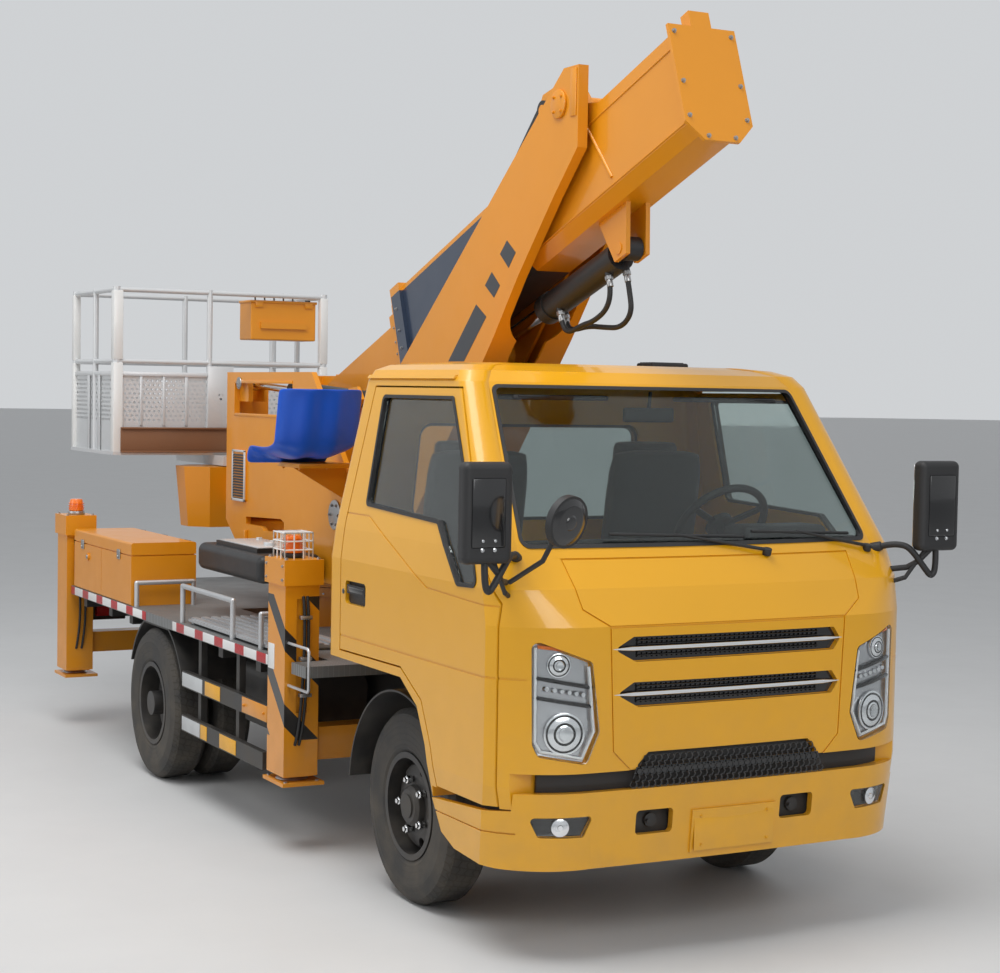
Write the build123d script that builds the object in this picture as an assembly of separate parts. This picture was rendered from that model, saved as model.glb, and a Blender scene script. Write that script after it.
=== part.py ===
import math
import os

from build123d import *

# A cab-over truck that carries an articulated and telescopic access platform.
# Millimetres. Forward is +X, the vehicle's left is +Y, up is +Z, the floor is Z = 0.
# The pieces are laid out from the front axle's centre line, and save() moves them so that
# the origin is at the middle of the whole machine's footprint.
os.makedirs("parts", exist_ok=True)

FRONT_AXLE_X = 1957.3

# Running gear
WHEELBASE = 2800.0
TYRE_R = 387.5
TYRE_W = 195.0
RIM_R = 206.0
FRONT_WHEEL_Y = 723.0
REAR_OUTER_Y = 868.0
REAR_INNER_Y = 640.0
KINGPIN_Y = 610.0
RAIL_Y = 350.0
RAIL_W = 60.0
RAIL_Z0 = 560.0
RAIL_Z1 = 740.0
REAR_END_X = -4580.0

# Cab
WALL = 36.0
CAB_FLOOR_Z = 930.0
SEAM = 7.0
SEAL = 13.0

# Deck and outriggers
DECK_Z0 = 800.0
DECK_Z1 = 850.0
DECK_HALF_W = 950.0
FRONT_LEG_X = -1030.0
REAR_LEG_X = -4490.0
LEG_Y = 890.0
COLUMN_X = 200.0
COLUMN_Y = 160.0
COLUMN_T = 8.0
LEG_X = 170.0
LEG_YW = 130.0
SLEEVE_Z = (400.0, 545.0)

# Turntable, arms and booms
SLEW_X = -2450.0
SLEW_Z = 1030.0
ARM_PIVOT = (-1850.0, 1420.0)
KNUCKLE = (30.0, 3200.0)
BAR_SHIFT = (-200.0, 0.0)
LUFF_ANCHOR = (-950.0, 2200.0)
LUFF_EYE = (280.0, 2615.0)
LIFT_ANCHOR = (-3200.0, 2060.0)
LIFT_EYE = (-1750.0, 1990.0)
BOOM_SLOPE = 20.0
BOOM_ROOT = (815.0, 3190.0)
BOOM_COLLAR_RUN = 2570.0
TIP_RUN = 5092.0
BASKET_X = (-5160.0, -4262.0)
BASKET_Y = (-735.0, 630.0)
BASKET_Z = (1625.0, 2620.0)
BASKET_POST_X = -4150.0

COS_B = math.cos(math.radians(BOOM_SLOPE))
SIN_B = math.sin(math.radians(BOOM_SLOPE))


def save(name, shape):
    shape = Pos(FRONT_AXLE_X, 0, 0) * shape
    export_step(shape, "parts/" + name + ".step")


def block(x0, x1, y0, y1, z0, z1):
    size = (abs(x1 - x0), abs(y1 - y0), abs(z1 - z0))
    return Pos((x0 + x1) / 2, (y0 + y1) / 2, (z0 + z1) / 2) * Box(*size)


def soft_block(x0, x1, y0, y1, z0, z1, radius):
    """A block with all its edges rounded."""
    solid = block(x0, x1, y0, y1, z0, z1)
    return fillet(solid.edges(), radius)


def compound(pieces):
    """Pieces that stay separate solids in one node."""
    return Compound(children=[solid for piece in pieces for solid in piece.solids()])


def mirrored(shape):
    return mirror(shape, about=Plane.XZ)


def both_sides(shape):
    """The shape and its copy on the other side of the vehicle."""
    return compound([shape, mirrored(shape)])


def largest(shape):
    return shape.solids().sort_by(SortBy.VOLUME)[-1]


def rod_y(x, z, y0, y1, r):
    return Pos(x, (y0 + y1) / 2, z) * Rot(90, 0, 0) * Cylinder(r, abs(y1 - y0))


def rod_z(x, y, z0, z1, r):
    return Pos(x, y, (z0 + z1) / 2) * Cylinder(r, abs(z1 - z0))


def rod_between(a, b, r):
    """A round bar from point a to point b."""
    start = Vector(*a)
    way = Vector(*b) - start
    plane = Plane(origin=start, z_dir=way)
    return plane * Pos(0, 0, way.length / 2) * Cylinder(r, way.length)


def bent_tube(points, r):
    """Round bars from point to point with a ball at each bend."""
    tube = rod_between(points[0], points[1], r)
    for a, b in zip(points[1:], points[2:]):
        tube = tube + Pos(*a) * Sphere(r) + rod_between(a, b, r)
    return tube


def side_face(points, y0):
    """A flat face of (x, z) points that stands lengthwise at y0."""
    return make_face(Polyline(*[(x, y0, z) for x, z in points], close=True))


def side_plate(points, y0, y1):
    """A plate of (x, z) points from y0 to y1."""
    return extrude(side_face(points, y0), amount=y1 - y0, dir=(0, 1, 0))


def cross_face(points, x0):
    """A flat face of (y, z) points that stands across the vehicle at x0."""
    return make_face(Polyline(*[(x0, y, z) for y, z in points], close=True))


def grown(face, distance):
    """A flat face with its outline moved outward, or inward where the distance is negative."""
    if distance == 0:
        return face
    return offset(face, distance, kind=Kind.INTERSECTION)


def joined(pieces):
    total = pieces[0]
    for piece in pieces[1:]:
        total = total + piece
    return total


def on_boom(run, drop=0.0):
    """The (x, z) of a point along the boom from its root, and below its centre line."""
    x = BOOM_ROOT[0] - run * COS_B + drop * SIN_B
    z = BOOM_ROOT[1] - run * SIN_B - drop * COS_B
    return x, z


def boom_box(run0, run1, half_w, half_h):
    """A solid bar along the boom's centre line."""
    corners = [on_boom(run0, -half_h), on_boom(run1, -half_h), on_boom(run1, half_h), on_boom(run0, half_h)]
    return side_plate(corners, -half_w, half_w)


def boom_outline(half_w, half_h, chamfer):
    """The boom's cross-section as (sideways, down) points: its two lower corners are chamfered."""
    return [
        (-half_w, -half_h), (half_w, -half_h), (half_w, half_h - chamfer), (half_w - chamfer, half_h),
        (chamfer - half_w, half_h), (-half_w, half_h - chamfer),
    ]


def boom_prism(outline, run0, run1):
    x, z = on_boom(run0)
    plane = Plane(origin=(x, 0, z), x_dir=(0, 1, 0), z_dir=(-COS_B, 0, -SIN_B))
    return extrude(plane * make_face(Polyline(*outline, close=True)), amount=run1 - run0)


def boom_tube(run0, run1, half_w, half_h, chamfer, wall):
    """The six plates of a box section, mitred where they are welded to each other."""
    outer = boom_outline(half_w, half_h, chamfer)
    inner = boom_outline(half_w - wall, half_h - wall, chamfer - wall * (2 - math.sqrt(2)))
    plates = []
    for i in range(len(outer)):
        j = (i + 1) % len(outer)
        plates.append(boom_prism([outer[i], outer[j], inner[j], inner[i]], run0, run1))
    return plates


# Chassis: two channel rails, their crossmembers and the subframe that carries the deck
rail = block(780, REAR_END_X, RAIL_Y - RAIL_W / 2, RAIL_Y + RAIL_W / 2, RAIL_Z0, RAIL_Z1)
rail = rail - block(800, REAR_END_X + 20, RAIL_Y - RAIL_W / 2, RAIL_Y + RAIL_W / 2 - 8, RAIL_Z0 + 8,
                    RAIL_Z1 - 8)
CROSS_X = (760, -700, -1500, -2200, -3300, -4000, -4560)
BEARER_X = (-1400, -1900, -3320, -3700, -4200)
frame_parts = [rail, mirrored(rail)]
for x in CROSS_X:
    frame_parts.append(block(x - 30, x + 30, -RAIL_Y - 22, RAIL_Y + 22, RAIL_Z0 + 25, RAIL_Z1 - 25))
for x in BEARER_X:
    frame_parts.append(block(x - 30, x + 30, -DECK_HALF_W + 40, DECK_HALF_W - 40, RAIL_Z1, DECK_Z0))
save("chassis_frame", joined(frame_parts))

# Axles: the front beam and the rear banjo housing, with their leaf springs and hangers
axle_z = TYRE_R
rear_x = -WHEELBASE


def leaf_spring(x, z, side, half_length):
    """Four leaves, each shorter than the one above it, with a hanger at each end of the longest."""
    leaves = [block(x - 50, x + 50, side * 335, side * 400, z - 45, z)]
    for n in range(4):
        reach = half_length * (1 - 0.2 * (3 - n))
        leaves.append(block(x - reach, x + reach, side * 337, side * 398, z + n * 13, z + (n + 1) * 13))
    for end in (x - half_length + 15, x + half_length - 15):
        leaves.append(block(end - 15, end + 15, side * 337, side * 375, z + 51, RAIL_Z0))
        leaves.append(rod_y(end, z + 60, side * 330, side * 405, 19))
    return joined(leaves)


front_axle = joined([
    block(-45, 45, -540, 540, axle_z - 60, axle_z + 30),
    *[rod_z(0, s * KINGPIN_Y, axle_z - 45, axle_z + 45, 30) for s in (-1, 1)],
    *[block(-30, 30, s * 530, s * 600, axle_z - 45, axle_z + 45) for s in (-1, 1)],
    *[leaf_spring(0, axle_z + 72, s, 560) for s in (-1, 1)],
])
rear_axle = joined([
    Pos(rear_x, 0, axle_z) * Sphere(165),
    rod_y(rear_x, axle_z, -500, 500, 58),
    *[rod_y(rear_x, axle_z, s * 495, s * 948, 34) for s in (-1, 1)],
    *[leaf_spring(rear_x, axle_z + 75, s, 640) for s in (-1, 1)],
])
save("front_axle", front_axle)
save("rear_axle", rear_axle)

# Engine, gearbox and drive shaft, as plain masses at their real places
power_unit = joined([
    block(-330, 520, -250, 250, 500, 880),
    block(-900, -330, -140, 140, 500, 800),
    rod_between((-890, 0, 650), (rear_x + 150, 0, axle_z + 45), 38),
])
power_unit = power_unit - Pos(rear_x, 0, axle_z) * Sphere(175)
for x in CROSS_X:
    power_unit = power_unit - block(x - 35, x + 35, -400, 400, RAIL_Z0, RAIL_Z1)
save("power_unit", largest(power_unit))


# Wheels: tyre with two shoulders, and a pressed disc rim with hand holes, hub and studs.
# The rear wheels are twins.
def tyre(y):
    half = TYRE_W / 2
    section = Polyline(
        (RIM_R + 4, -half + 18), (RIM_R + 26, -half + 6), (TYRE_R - 70, -half), (TYRE_R - 22, -half + 9),
        (TYRE_R, -half + 34), (TYRE_R, half - 34), (TYRE_R - 22, half - 9), (TYRE_R - 70, half),
        (RIM_R + 26, half - 6), (RIM_R + 4, half - 18), close=True,
    )
    return Pos(0, y, TYRE_R) * revolve(make_face(section), axis=Axis.Y)


HAND_HOLES = 5
STUDS = 5
STUD_CIRCLE_R = 104.0


def rim(y, side, dish):
    """A rim at y. Its disc bulges towards the given side where dish is 1, and away from it where it is -1."""
    half = TYRE_W / 2 - 14
    barrel = Polyline(
        (RIM_R + 8, half + 6), (RIM_R + 8, half), (RIM_R, half), (RIM_R, -half), (RIM_R + 8, -half),
        (RIM_R + 8, -half - 6), (RIM_R - 12, -half - 6), (RIM_R - 16, half + 6), close=True,
    )
    face_u = dish * 46.0
    disc = Polyline(
        (RIM_R - 13, face_u * 0.2), (160, face_u), (120, face_u + 6), (30, face_u + 6), (30, face_u - 6),
        (118, face_u - 6), (155, face_u - 12), (RIM_R - 13, face_u * 0.2 - 14), close=True,
    )
    hub = Polyline((30, face_u), (84, face_u), (80, face_u + 30), (66, face_u + 44), (30, face_u + 44),
                   close=True)
    wheel = joined([revolve(make_face(line), axis=Axis.Y) for line in (barrel, disc, hub)])
    for turn in range(HAND_HOLES):
        wheel = wheel - Rot(0, turn * 360 / HAND_HOLES, 0) * rod_y(152, 0, face_u - 60, face_u + 60, 23)
    for turn in range(STUDS):
        angle = (turn + 0.5) * 360 / STUDS
        wheel = wheel + Rot(0, angle, 0) * rod_y(STUD_CIRCLE_R, 0, face_u, face_u + 26, 12)
    if side < 0:
        wheel = mirrored(wheel)
    return Pos(0, y, TYRE_R) * wheel


for name, side in (("left", 1), ("right", -1)):
    wheel_y = side * FRONT_WHEEL_Y
    save("tyre_front_" + name, tyre(wheel_y))
    cap = rod_y(0, TYRE_R, side * (FRONT_WHEEL_Y + 62), side * (FRONT_WHEEL_Y + 96), 46)
    save("rim_front_" + name, rim(wheel_y, side, 1) + cap)
    stub = joined([
        rod_y(0, TYRE_R, side * (KINGPIN_Y + 45), side * (FRONT_WHEEL_Y + 60), 29.9),
        block(-32, 32, side * (KINGPIN_Y + 34), side * (KINGPIN_Y + 46), axle_z - 90, axle_z + 90),
        block(-32, 32, side * (KINGPIN_Y - 30), side * (KINGPIN_Y + 46), axle_z + 52, axle_z + 90),
        block(-32, 32, side * (KINGPIN_Y - 30), side * (KINGPIN_Y + 46), axle_z - 90, axle_z - 52),
    ])
    save("steering_knuckle_" + name, stub)
    save("tyres_rear_" + name, Pos(rear_x, 0, 0) * compound([tyre(side * REAR_OUTER_Y),
                                                             tyre(side * REAR_INNER_Y)]))
    twin = rim(side * REAR_OUTER_Y, side, -1) + rim(side * REAR_INNER_Y, -side, -1)
    hub_tube = rod_y(0, TYRE_R, side * (REAR_INNER_Y + 30), side * (REAR_OUTER_Y - 30), 78)
    twin = twin + hub_tube + rod_y(0, TYRE_R, side * (REAR_OUTER_Y - 30), side * (REAR_OUTER_Y + 96), 62)
    twin = twin - rod_y(0, TYRE_R, side * 300, side * (REAR_OUTER_Y + 84), 34.05)
    save("rims_rear_" + name, Pos(rear_x, 0, 0) * twin)

# Cab: a loft through level sections. Each row is one level.
# Columns: z, rear x, half width, x where the side ends, corner's middle (x, y), corner's end (x, y), front x
CAB_SECTIONS = [
    (340, -580, 905, 800, (940, 800), (1005, 570), 1018),
    (640, -580, 925, 850, (965, 808), (1033, 590), 1047),
    (1210, -580, 925, 850, (968, 806), (1033, 590), 1050),
    (1340, -580, 925, 820, (912, 850), (950, 740), 990),
    (1465, -575, 910, 770, (822, 875), (838, 795), 905),
    (2075, -510, 800, 360, (404, 775), (405, 695), 455),
    (2118, -500, 775, 320, (362, 745), (360, 660), 405),
    (2140, -470, 720, 250, (290, 690), (285, 600), 320),
    (2150, -430, 600, 200, (235, 575), (232, 500), 262),
]
ROOF_Z = 2000
CORNER_R = 60.0


def cab_level(section, t):
    """One level's outline, moved inward by t."""
    z, rear, half, side_end, middle, end, centre = section
    z = z - t if z > ROOF_Z else z
    rear, half, centre = rear + t, half - t, centre - t
    r = max(CORNER_R - t, 12)
    k = r * (1 - math.sqrt(0.5))
    mx, my = middle[0] - 0.75 * t, middle[1] - 0.66 * t
    ex, ey = end[0] - 0.97 * t, end[1] - 0.2 * t
    edges = [
        Line((rear, r - half, z), (rear, half - r, z)),
        ThreePointArc((rear, half - r, z), (rear + k, half - k, z), (rear + r, half, z)),
        Line((rear + r, half, z), (side_end, half, z)),
        ThreePointArc((side_end, half, z), (mx, my, z), (ex, ey, z)),
        ThreePointArc((ex, ey, z), (centre, 0, z), (ex, -ey, z)),
        ThreePointArc((ex, -ey, z), (mx, -my, z), (side_end, -half, z)),
        Line((side_end, -half, z), (rear + r, -half, z)),
        ThreePointArc((rear + r, -half, z), (rear + k, k - half, z), (rear, r - half, z)),
    ]
    return make_face(Wire(edges))


forms = {}


def cab_form(t):
    """The cab's whole outer form, moved inward by t."""
    if t not in forms:
        forms[t] = loft([cab_level(section, t) for section in CAB_SECTIONS], ruled=True)
    return forms[t]


def skin(outside, inside):
    """A layer of the cab's form, from one depth to another."""
    return cab_form(outside) - cab_form(inside)


UNDERCUT = [
    (-700, 200), (-700, CAB_FLOOR_Z), (150, CAB_FLOOR_Z), (300, 840), (375, 705), (435, 520), (435, 560),
    (925, 560), (925, 690), (1200, 690), (1200, 200),
]
outer_form = cab_form(0) - side_plate(UNDERCUT, -1100, 1100)
inner_form = cab_form(WALL) & block(-700, 1100, -1000, 1000, CAB_FLOOR_Z + WALL, 2300)
well = block(-700, 1100, -560, 560, 200, CAB_FLOOR_Z) & cab_form(WALL)
front_well = block(-700, 800, -700, 700, 200, CAB_FLOOR_Z)
cab_body = outer_form - inner_form - well - front_well

DOOR_OUTLINE = [
    (-440, 960), (150, 965), (335, 865), (415, 715), (470, 560), (893, 560), (893, 1290), (396,
                                                                                           2054), (-380, 2054),
    (-440, 1500),
]
DOOR_WINDOW = [(-265, 1568), (-285, 2018), (350, 2018), (650, 1608), (785, 1335), (625, 1328), (400, 1540)]
HANDLE_CUP = [(-387, 1162), (-387, 1256), (-186, 1256), (-186, 1162)]
CREASE = [(-440, 1526), (-215, 1526), (370, 1296), (893, 1276), (893, 1282), (372, 1302), (-213, 1532),
          (-440, 1532)]
LOWER_CREASE = [(-440, 1022), (960, 1022), (960, 1030), (-440, 1030)]


def side_region(points, gap, y0=600, radius=0):
    """The space behind an outline of the left side, drawn in by a gap all round."""
    face = grown(side_face(points, y0), -gap)
    if radius:
        face = fillet(face.vertices(), radius)
    return extrude(face.face(), amount=1100 - y0, dir=(0, 1, 0))


window_hole = side_region(DOOR_WINDOW, 0, radius=26)
window_inside = side_region(DOOR_WINDOW, SEAL, radius=18)
cup_region = side_region(HANDLE_CUP, 0, radius=18)
creases = (side_region(CREASE, 0) + side_region(LOWER_CREASE, 0)) & skin(0, 3)
door = (skin(0, WALL) - block(-1200, 1200, -750, 750, 0, 2600)) & side_region(DOOR_OUTLINE, SEAM)
door = largest(door - window_hole - (cup_region & skin(0, 24)) - creases)
door_glass = largest(skin(12, 18) & window_inside)
seal = largest((skin(-4, 26) & window_hole) - window_inside)
handle = largest((skin(18, 24) & cup_region) + (skin(2, 18) & block(-375, -200, 800, 1000, 1204, 1240)))
for name, turn in (("left", lambda shape: shape), ("right", mirrored)):
    save("door_" + name, turn(door))
    save("door_glass_" + name, turn(door_glass))
    save("door_trim_" + name, turn(compound([seal, handle])))


def front_region(points, gap, x0, x1, radius=0):
    """The space behind an outline seen from the front, drawn in by a gap all round."""
    face = grown(cross_face(points, x0), -gap)
    if radius:
        face = fillet(face.vertices(), radius)
    return extrude(face.face(), amount=x1 - x0, dir=(1, 0, 0))


def from_half(points):
    """A symmetrical outline from the (y, z) points of its left half, given from the top down."""
    return [*points, *[(-y, z) for y, z in reversed(points)]]


def groove(points):
    """A narrow line round a panel of the front."""
    return (front_region(points, -3, 850, 1150) - front_region(points, 3, 850, 1150)) & skin(0, 6)


WINDSCREEN = [(-780, 1478), (-690, 2066), (690, 2066), (780, 1478)]
REAR_WINDOW = [(-560, 1480), (-540, 1900), (540, 1900), (560, 1480)]
FRONT_LID = from_half([(640, 1440), (615, 1270), (520, 1210)])
FRONT_PANEL = from_half([(520, 1206), (500, 760), (430, 692)])
UPPER_SLOT = [(-503, 1127), (-425, 1171), (468, 1170), (500, 1125), (468, 1083), (-414, 1080)]
LOWER_SLOT = [(-490, 965), (-421, 1007), (463, 1004), (495, 962), (463, 918), (-400, 916)]
MESH_GRILLE = from_half([(355, 752), (412, 694)])
HEADLAMP = [(804, 1169), (797, 796), (779, 752), (606, 720), (556, 837), (589, 1087)]

screen_hole = front_region(WINDSCREEN, 0, 200, 1200, 34)
screen_inside = front_region(WINDSCREEN, SEAL, 200, 1200, 24)
rear_hole = front_region(REAR_WINDOW, 0, -700, -300, 60)
rear_inside = front_region(REAR_WINDOW, SEAL, -700, -300, 48)
lamp_region = front_region(HEADLAMP, 0, 850, 1150, 24)
lamp_inside = front_region(HEADLAMP, 2, 850, 1150, 22)
door_space = side_region(DOOR_OUTLINE, 0)
cab_shell = cab_body - door_space - mirrored(door_space) - screen_hole - rear_hole
cab_shell = cab_shell - creases - mirrored(creases) - groove(FRONT_LID) - groove(FRONT_PANEL)
for outline in (UPPER_SLOT, LOWER_SLOT):
    cab_shell = cab_shell - (front_region(outline, 0, 850, 1150, 12) & skin(0, 24))
cab_shell = cab_shell - (front_region(MESH_GRILLE, 0, 850, 1150, 10) & skin(0, 30))
for region in (lamp_region, mirrored(lamp_region)):
    cab_shell = cab_shell - (region & skin(0, 30))
step_wall = side_plate([(560, 560), (560, CAB_FLOOR_Z + 2), (885, CAB_FLOOR_Z + 2), (885, 560)], 600, 620)
step_tread = block(470, 885, 619, 835, 618, 634) & cab_form(WALL + 8)
gutter = (skin(-7, 0) & block(-470, 330, -1000, 1000, 2084, 2098)).solids()
cab_shell = joined([cab_shell, *[step_wall, mirrored(step_wall), step_tread, mirrored(step_tread)], *gutter])
save("cab_shell", largest(cab_shell))
save("cab_glass", compound([largest(skin(12, 18) & screen_inside), largest(skin(12, 18) & rear_inside)]))

# Black trim of the cab: seals, the grille's backing, the panel in the gap over the bumper, and the mirrors
screen_seal = largest((skin(-4, 26) & screen_hole) - screen_inside)
rear_seal = largest((skin(-4, 26) & rear_hole) - rear_inside)
gap_panel = largest(skin(42, 52) & block(880, 1100, -760, 760, 618, 720)) - cab_body
grille_panel = largest(skin(24, 30) & front_region(MESH_GRILLE, 1.5, 850, 1150, 8))
MIRROR_BASE = (925, -905, 1372)
ROUND_MIRROR = (1200, -805, 1600)
head = soft_block(945, 1012, -1098, -905, 1442, 1795, 24)
arm_path = [MIRROR_BASE, (962, -935, 1400), (976, -985, 1450)]
mirror_right = joined([head, bent_tube(arm_path, 11), rod_between((932, -893, 1330), (972, -960, 1446), 8)])
mirror_right = mirror_right - cab_form(0)
round_arm = bent_tube([(950, -885, 1372), (1120, -850, 1460), (1190, -812, 1600)], 9) - cab_form(0)
dish = Plane(origin=ROUND_MIRROR, z_dir=(0.93, 0.3, -0.2)) * Cylinder(92, 26)
trim = [
    screen_seal, rear_seal, gap_panel, grille_panel, largest(mirror_right), largest(mirrored(mirror_right)),
    largest(joined([round_arm, dish])),
]
save("cab_trim", compound(trim))

# Seats: each has a box under it, a cushion and a back
seats = []
for y in (-430, 430):
    cushion = soft_block(-235, 255, y - 235, y + 235, 1110, 1250, 32)
    back = fillet(
        side_plate([(-236, 1251), (-120, 1251), (-215, 1830), (-318, 1812)], y - 225, y + 225).edges(), 22
    )
    base = block(-200, 220, y - 190, y + 190, CAB_FLOOR_Z + WALL, 1112)
    seats.append(joined([base, cushion, back]))
save("cab_seats", compound(seats))

# Dash with the instrument hood, steering column and wheel
dash = joined([
    side_plate([(850, 1150), (850, 1405), (730, 1428), (600, 1390), (560, 1300), (580, 1150)], -820, 820),
    side_plate([(730, 1400), (735, 1450), (640, 1445), (600, 1380)], 250, 610),
])
dash = dash & cab_form(WALL + 6)
column = rod_between((600, 430, 1300), (330, 430, 1500), 25)
wheel_plane = Plane(origin=(325, 430, 1503), z_dir=(-0.803, 0, 0.596))
steering_wheel = wheel_plane * Torus(200, 16) + wheel_plane * Cylinder(60, 30)
for turn in (0, 120, 240):
    steering_wheel = steering_wheel + wheel_plane * Rot(0, 0, turn) * Pos(110, 0, 0) * Box(190, 26, 12)
save("cab_interior", dash + column + steering_wheel)

# Bumper: one pressed beam across the front with corners that wrap round to the wheel openings
BUMPER_SIDE = [
    (434, 516), (500, 400), (600, 358), (930, 335), (1100, 330), (1100, 622), (935, 618), (925, 555),
]
TOW_OPENINGS = ((-395, -239, 449, 539), (238, 391, 454, 544))
FOG_LAMP = [(802, 534), (768, 462), (606, 458), (570, 535)]
bumper_zone = side_plate(BUMPER_SIDE, -1100, 1100)
bumper_ledge = cab_form(24) & block(950, 1100, -760, 760, 600, 617)
bumper = (skin(-3, 26) & bumper_zone) + bumper_ledge
fog_region = front_region(FOG_LAMP, 0, 800, 1100, 14)
for region in (fog_region, mirrored(fog_region)):
    bumper = bumper - (region & skin(-10, 20))
for y0, y1, z0, z1 in TOW_OPENINGS:
    opening = fillet(block(900, 1100, y0, y1, z0, z1).edges().filter_by(Axis.X), 16)
    bumper = bumper - opening
plate_pad = block(1005, 1060, -160, 214, 364, 524) & skin(-12, 10)
bumper_side_groove = skin(-3, 3) & block(400, 930, -1100, 1100, 470, 476)
save("bumper", largest(bumper - bumper_side_groove + plate_pad))

# Lamps: clear headlamp covers that follow the cab's corners, fog lamps in the bumper, lamp blocks at the rear
lens = largest(skin(-2, 3) & lamp_inside)
fog_lens = largest(skin(2, 7) & front_region(FOG_LAMP, 3, 800, 1100, 12))
save("headlamps", compound([lens, mirrored(lens), fog_lens, mirrored(fog_lens)]))
rear_lamp = soft_block(REAR_END_X - 46, REAR_END_X - 1, 560, 790, 620, 710, 8)
rear_lamp = rear_lamp + block(REAR_END_X - 4, REAR_END_X + 38, 600, 740, 640, DECK_Z0)
save("rear_lamps", both_sides(rear_lamp))

# Deck: chequered panels laid edge to edge round the turntable, with notches for the outriggers
NOTCH_Y = 775.0
NOTCH_HALF_X = 130.0
WELL_HALF = 440.0
front_notch = (FRONT_LEG_X + NOTCH_HALF_X, FRONT_LEG_X - NOTCH_HALF_X)
well_x = (SLEW_X + WELL_HALF, SLEW_X - WELL_HALF)
rear_notch = REAR_LEG_X + NOTCH_HALF_X
# Columns: front x, rear x, inner y, outer y
DECK_PANELS = [
    (-740, front_notch[0], -DECK_HALF_W, DECK_HALF_W),
    (*front_notch, -NOTCH_Y, NOTCH_Y),
    (front_notch[1], well_x[0], -DECK_HALF_W, DECK_HALF_W),
    (*well_x, WELL_HALF, DECK_HALF_W),
    (*well_x, -DECK_HALF_W, -WELL_HALF),
    (well_x[1], rear_notch, -DECK_HALF_W, DECK_HALF_W),
    (rear_notch, REAR_END_X, -NOTCH_Y, NOTCH_Y),
]
save("deck", compound([block(*panel, DECK_Z0, DECK_Z1) for panel in DECK_PANELS]))

# Tool lockers on the deck behind the turntable, each with a lid line and a lock
LOCKER = (-4300, -3200, 585, DECK_HALF_W, DECK_Z1, 1190)
locker = block(*LOCKER)
locker = fillet(locker.edges().filter_by(Axis.X), 12)
lid_line = block(-4400, -3100, 560, 1000, 1118, 1124) - block(-4292, -3208, 593, DECK_HALF_W - 8, 1100, 1140)
door_line = block(-3760, -3754, DECK_HALF_W - 6, 1000, 880, 1118)
locker = locker - lid_line - door_line
lock = rod_y(-4010, 1050, DECK_HALF_W - 1, DECK_HALF_W + 9, 22)
save("toolboxes", both_sides(locker + lock))

# Silver tube rails and the ribbed access step on the right of the deck
RAIL_R = 13.0
step_top = DECK_Z1 + 32
rails = [
    bent_tube([(-3165, -929, DECK_Z1), (-3165, -929, 978), (-3165, -612, 978), (-3165, -612, DECK_Z1)],
              RAIL_R),
    bent_tube([(-2420, -925, DECK_Z1), (-2420, -925, 1034), (-1700, -925, 1034), (-1700, -925, DECK_Z1)],
              RAIL_R),
    bent_tube([(-2060, -700, DECK_Z1), (-2060, -700, 990), (-2060, -925, 990)], RAIL_R),
]
rail_frame = joined(rails[1:])
step_plate = block(-2360, -1210, -915, -560, step_top - 20, step_top - 8)
for n in range(7):
    y = -900 + n * 52
    step_plate = step_plate + block(-2360, -1210, y, y + 26, step_top - 9, step_top)
for x in (-2340, -1800, -1250):
    step_plate = step_plate + block(x - 15, x + 15, -900, -575, DECK_Z1, step_top - 19)
step_plate = step_plate - rail_frame
gate = bent_tube([(-1330, -925, DECK_Z1), (-1330, -925, 1010), (-1330, -700, 1010),
                  (-1330, -700, step_top)], RAIL_R)
save("deck_rails", compound([rails[0], largest(rail_frame - step_plate), largest(step_plate - gate),
                             largest(gate)]))

# Fluid tank, fuel tank and air tank
tanks = [
    fillet(block(-1250, -1950, 430, 800, 420, 730).edges().filter_by(Axis.X), 60),
    fillet(block(-1250, -1900, -800, -430, 420, 730).edges().filter_by(Axis.X), 60),
    Pos(-1600, 225, 480) * Rot(0, 90, 0) * Cylinder(92, 560),
]
save("tanks", compound(tanks))

# Front and rear mudguards and their flaps
rear_band = Pos(rear_x, 745, axle_z) * Rot(90, 0, 0) * (Cylinder(TYRE_R + 70, 390) - Cylinder(TYRE_R + 58,
                                                                                              400))
rear_band = rear_band & block(rear_x - 600, rear_x + 600, 500, 1000, 560, DECK_Z0 - 1)
rear_top = block(rear_x - 200, rear_x + 200, 550, 940, DECK_Z0 - 12, DECK_Z0)
rear_flap = block(rear_x - 470, rear_x - 456, 560, 930, 330, 700)
rear_guard = joined([rear_band, rear_top, rear_flap])
FRONT_LINER_R = 456.0
front_band = Pos(0, 690, axle_z) * Rot(90, 0, 0) * (Cylinder(FRONT_LINER_R + 8,
                                                             350) - Cylinder(FRONT_LINER_R, 360))
front_band = front_band & side_plate([(-500, 430), (-500, 930), (330, 930), (395, 640), (0, axle_z),
                                      (-100, 430)], 500, 880)
save("mudguards", compound([
    largest(rear_guard), largest(mirrored(rear_guard)), largest(front_band), largest(mirrored(front_band)),
]))

# Side guards between the axles: two pressed rails on posts each side
side_guard = joined([
    block(-1160, -2330, 925, 955, 540, 620),
    block(-1220, -2330, 925, 955, 320, 400),
    block(-1160, -2330, 920, 930, 560, 600),
    *[block(x - 20, x + 20, 895, 926, 330, DECK_Z0) for x in (-1620, -2150)],
])
save("side_guards", both_sides(side_guard))


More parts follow.
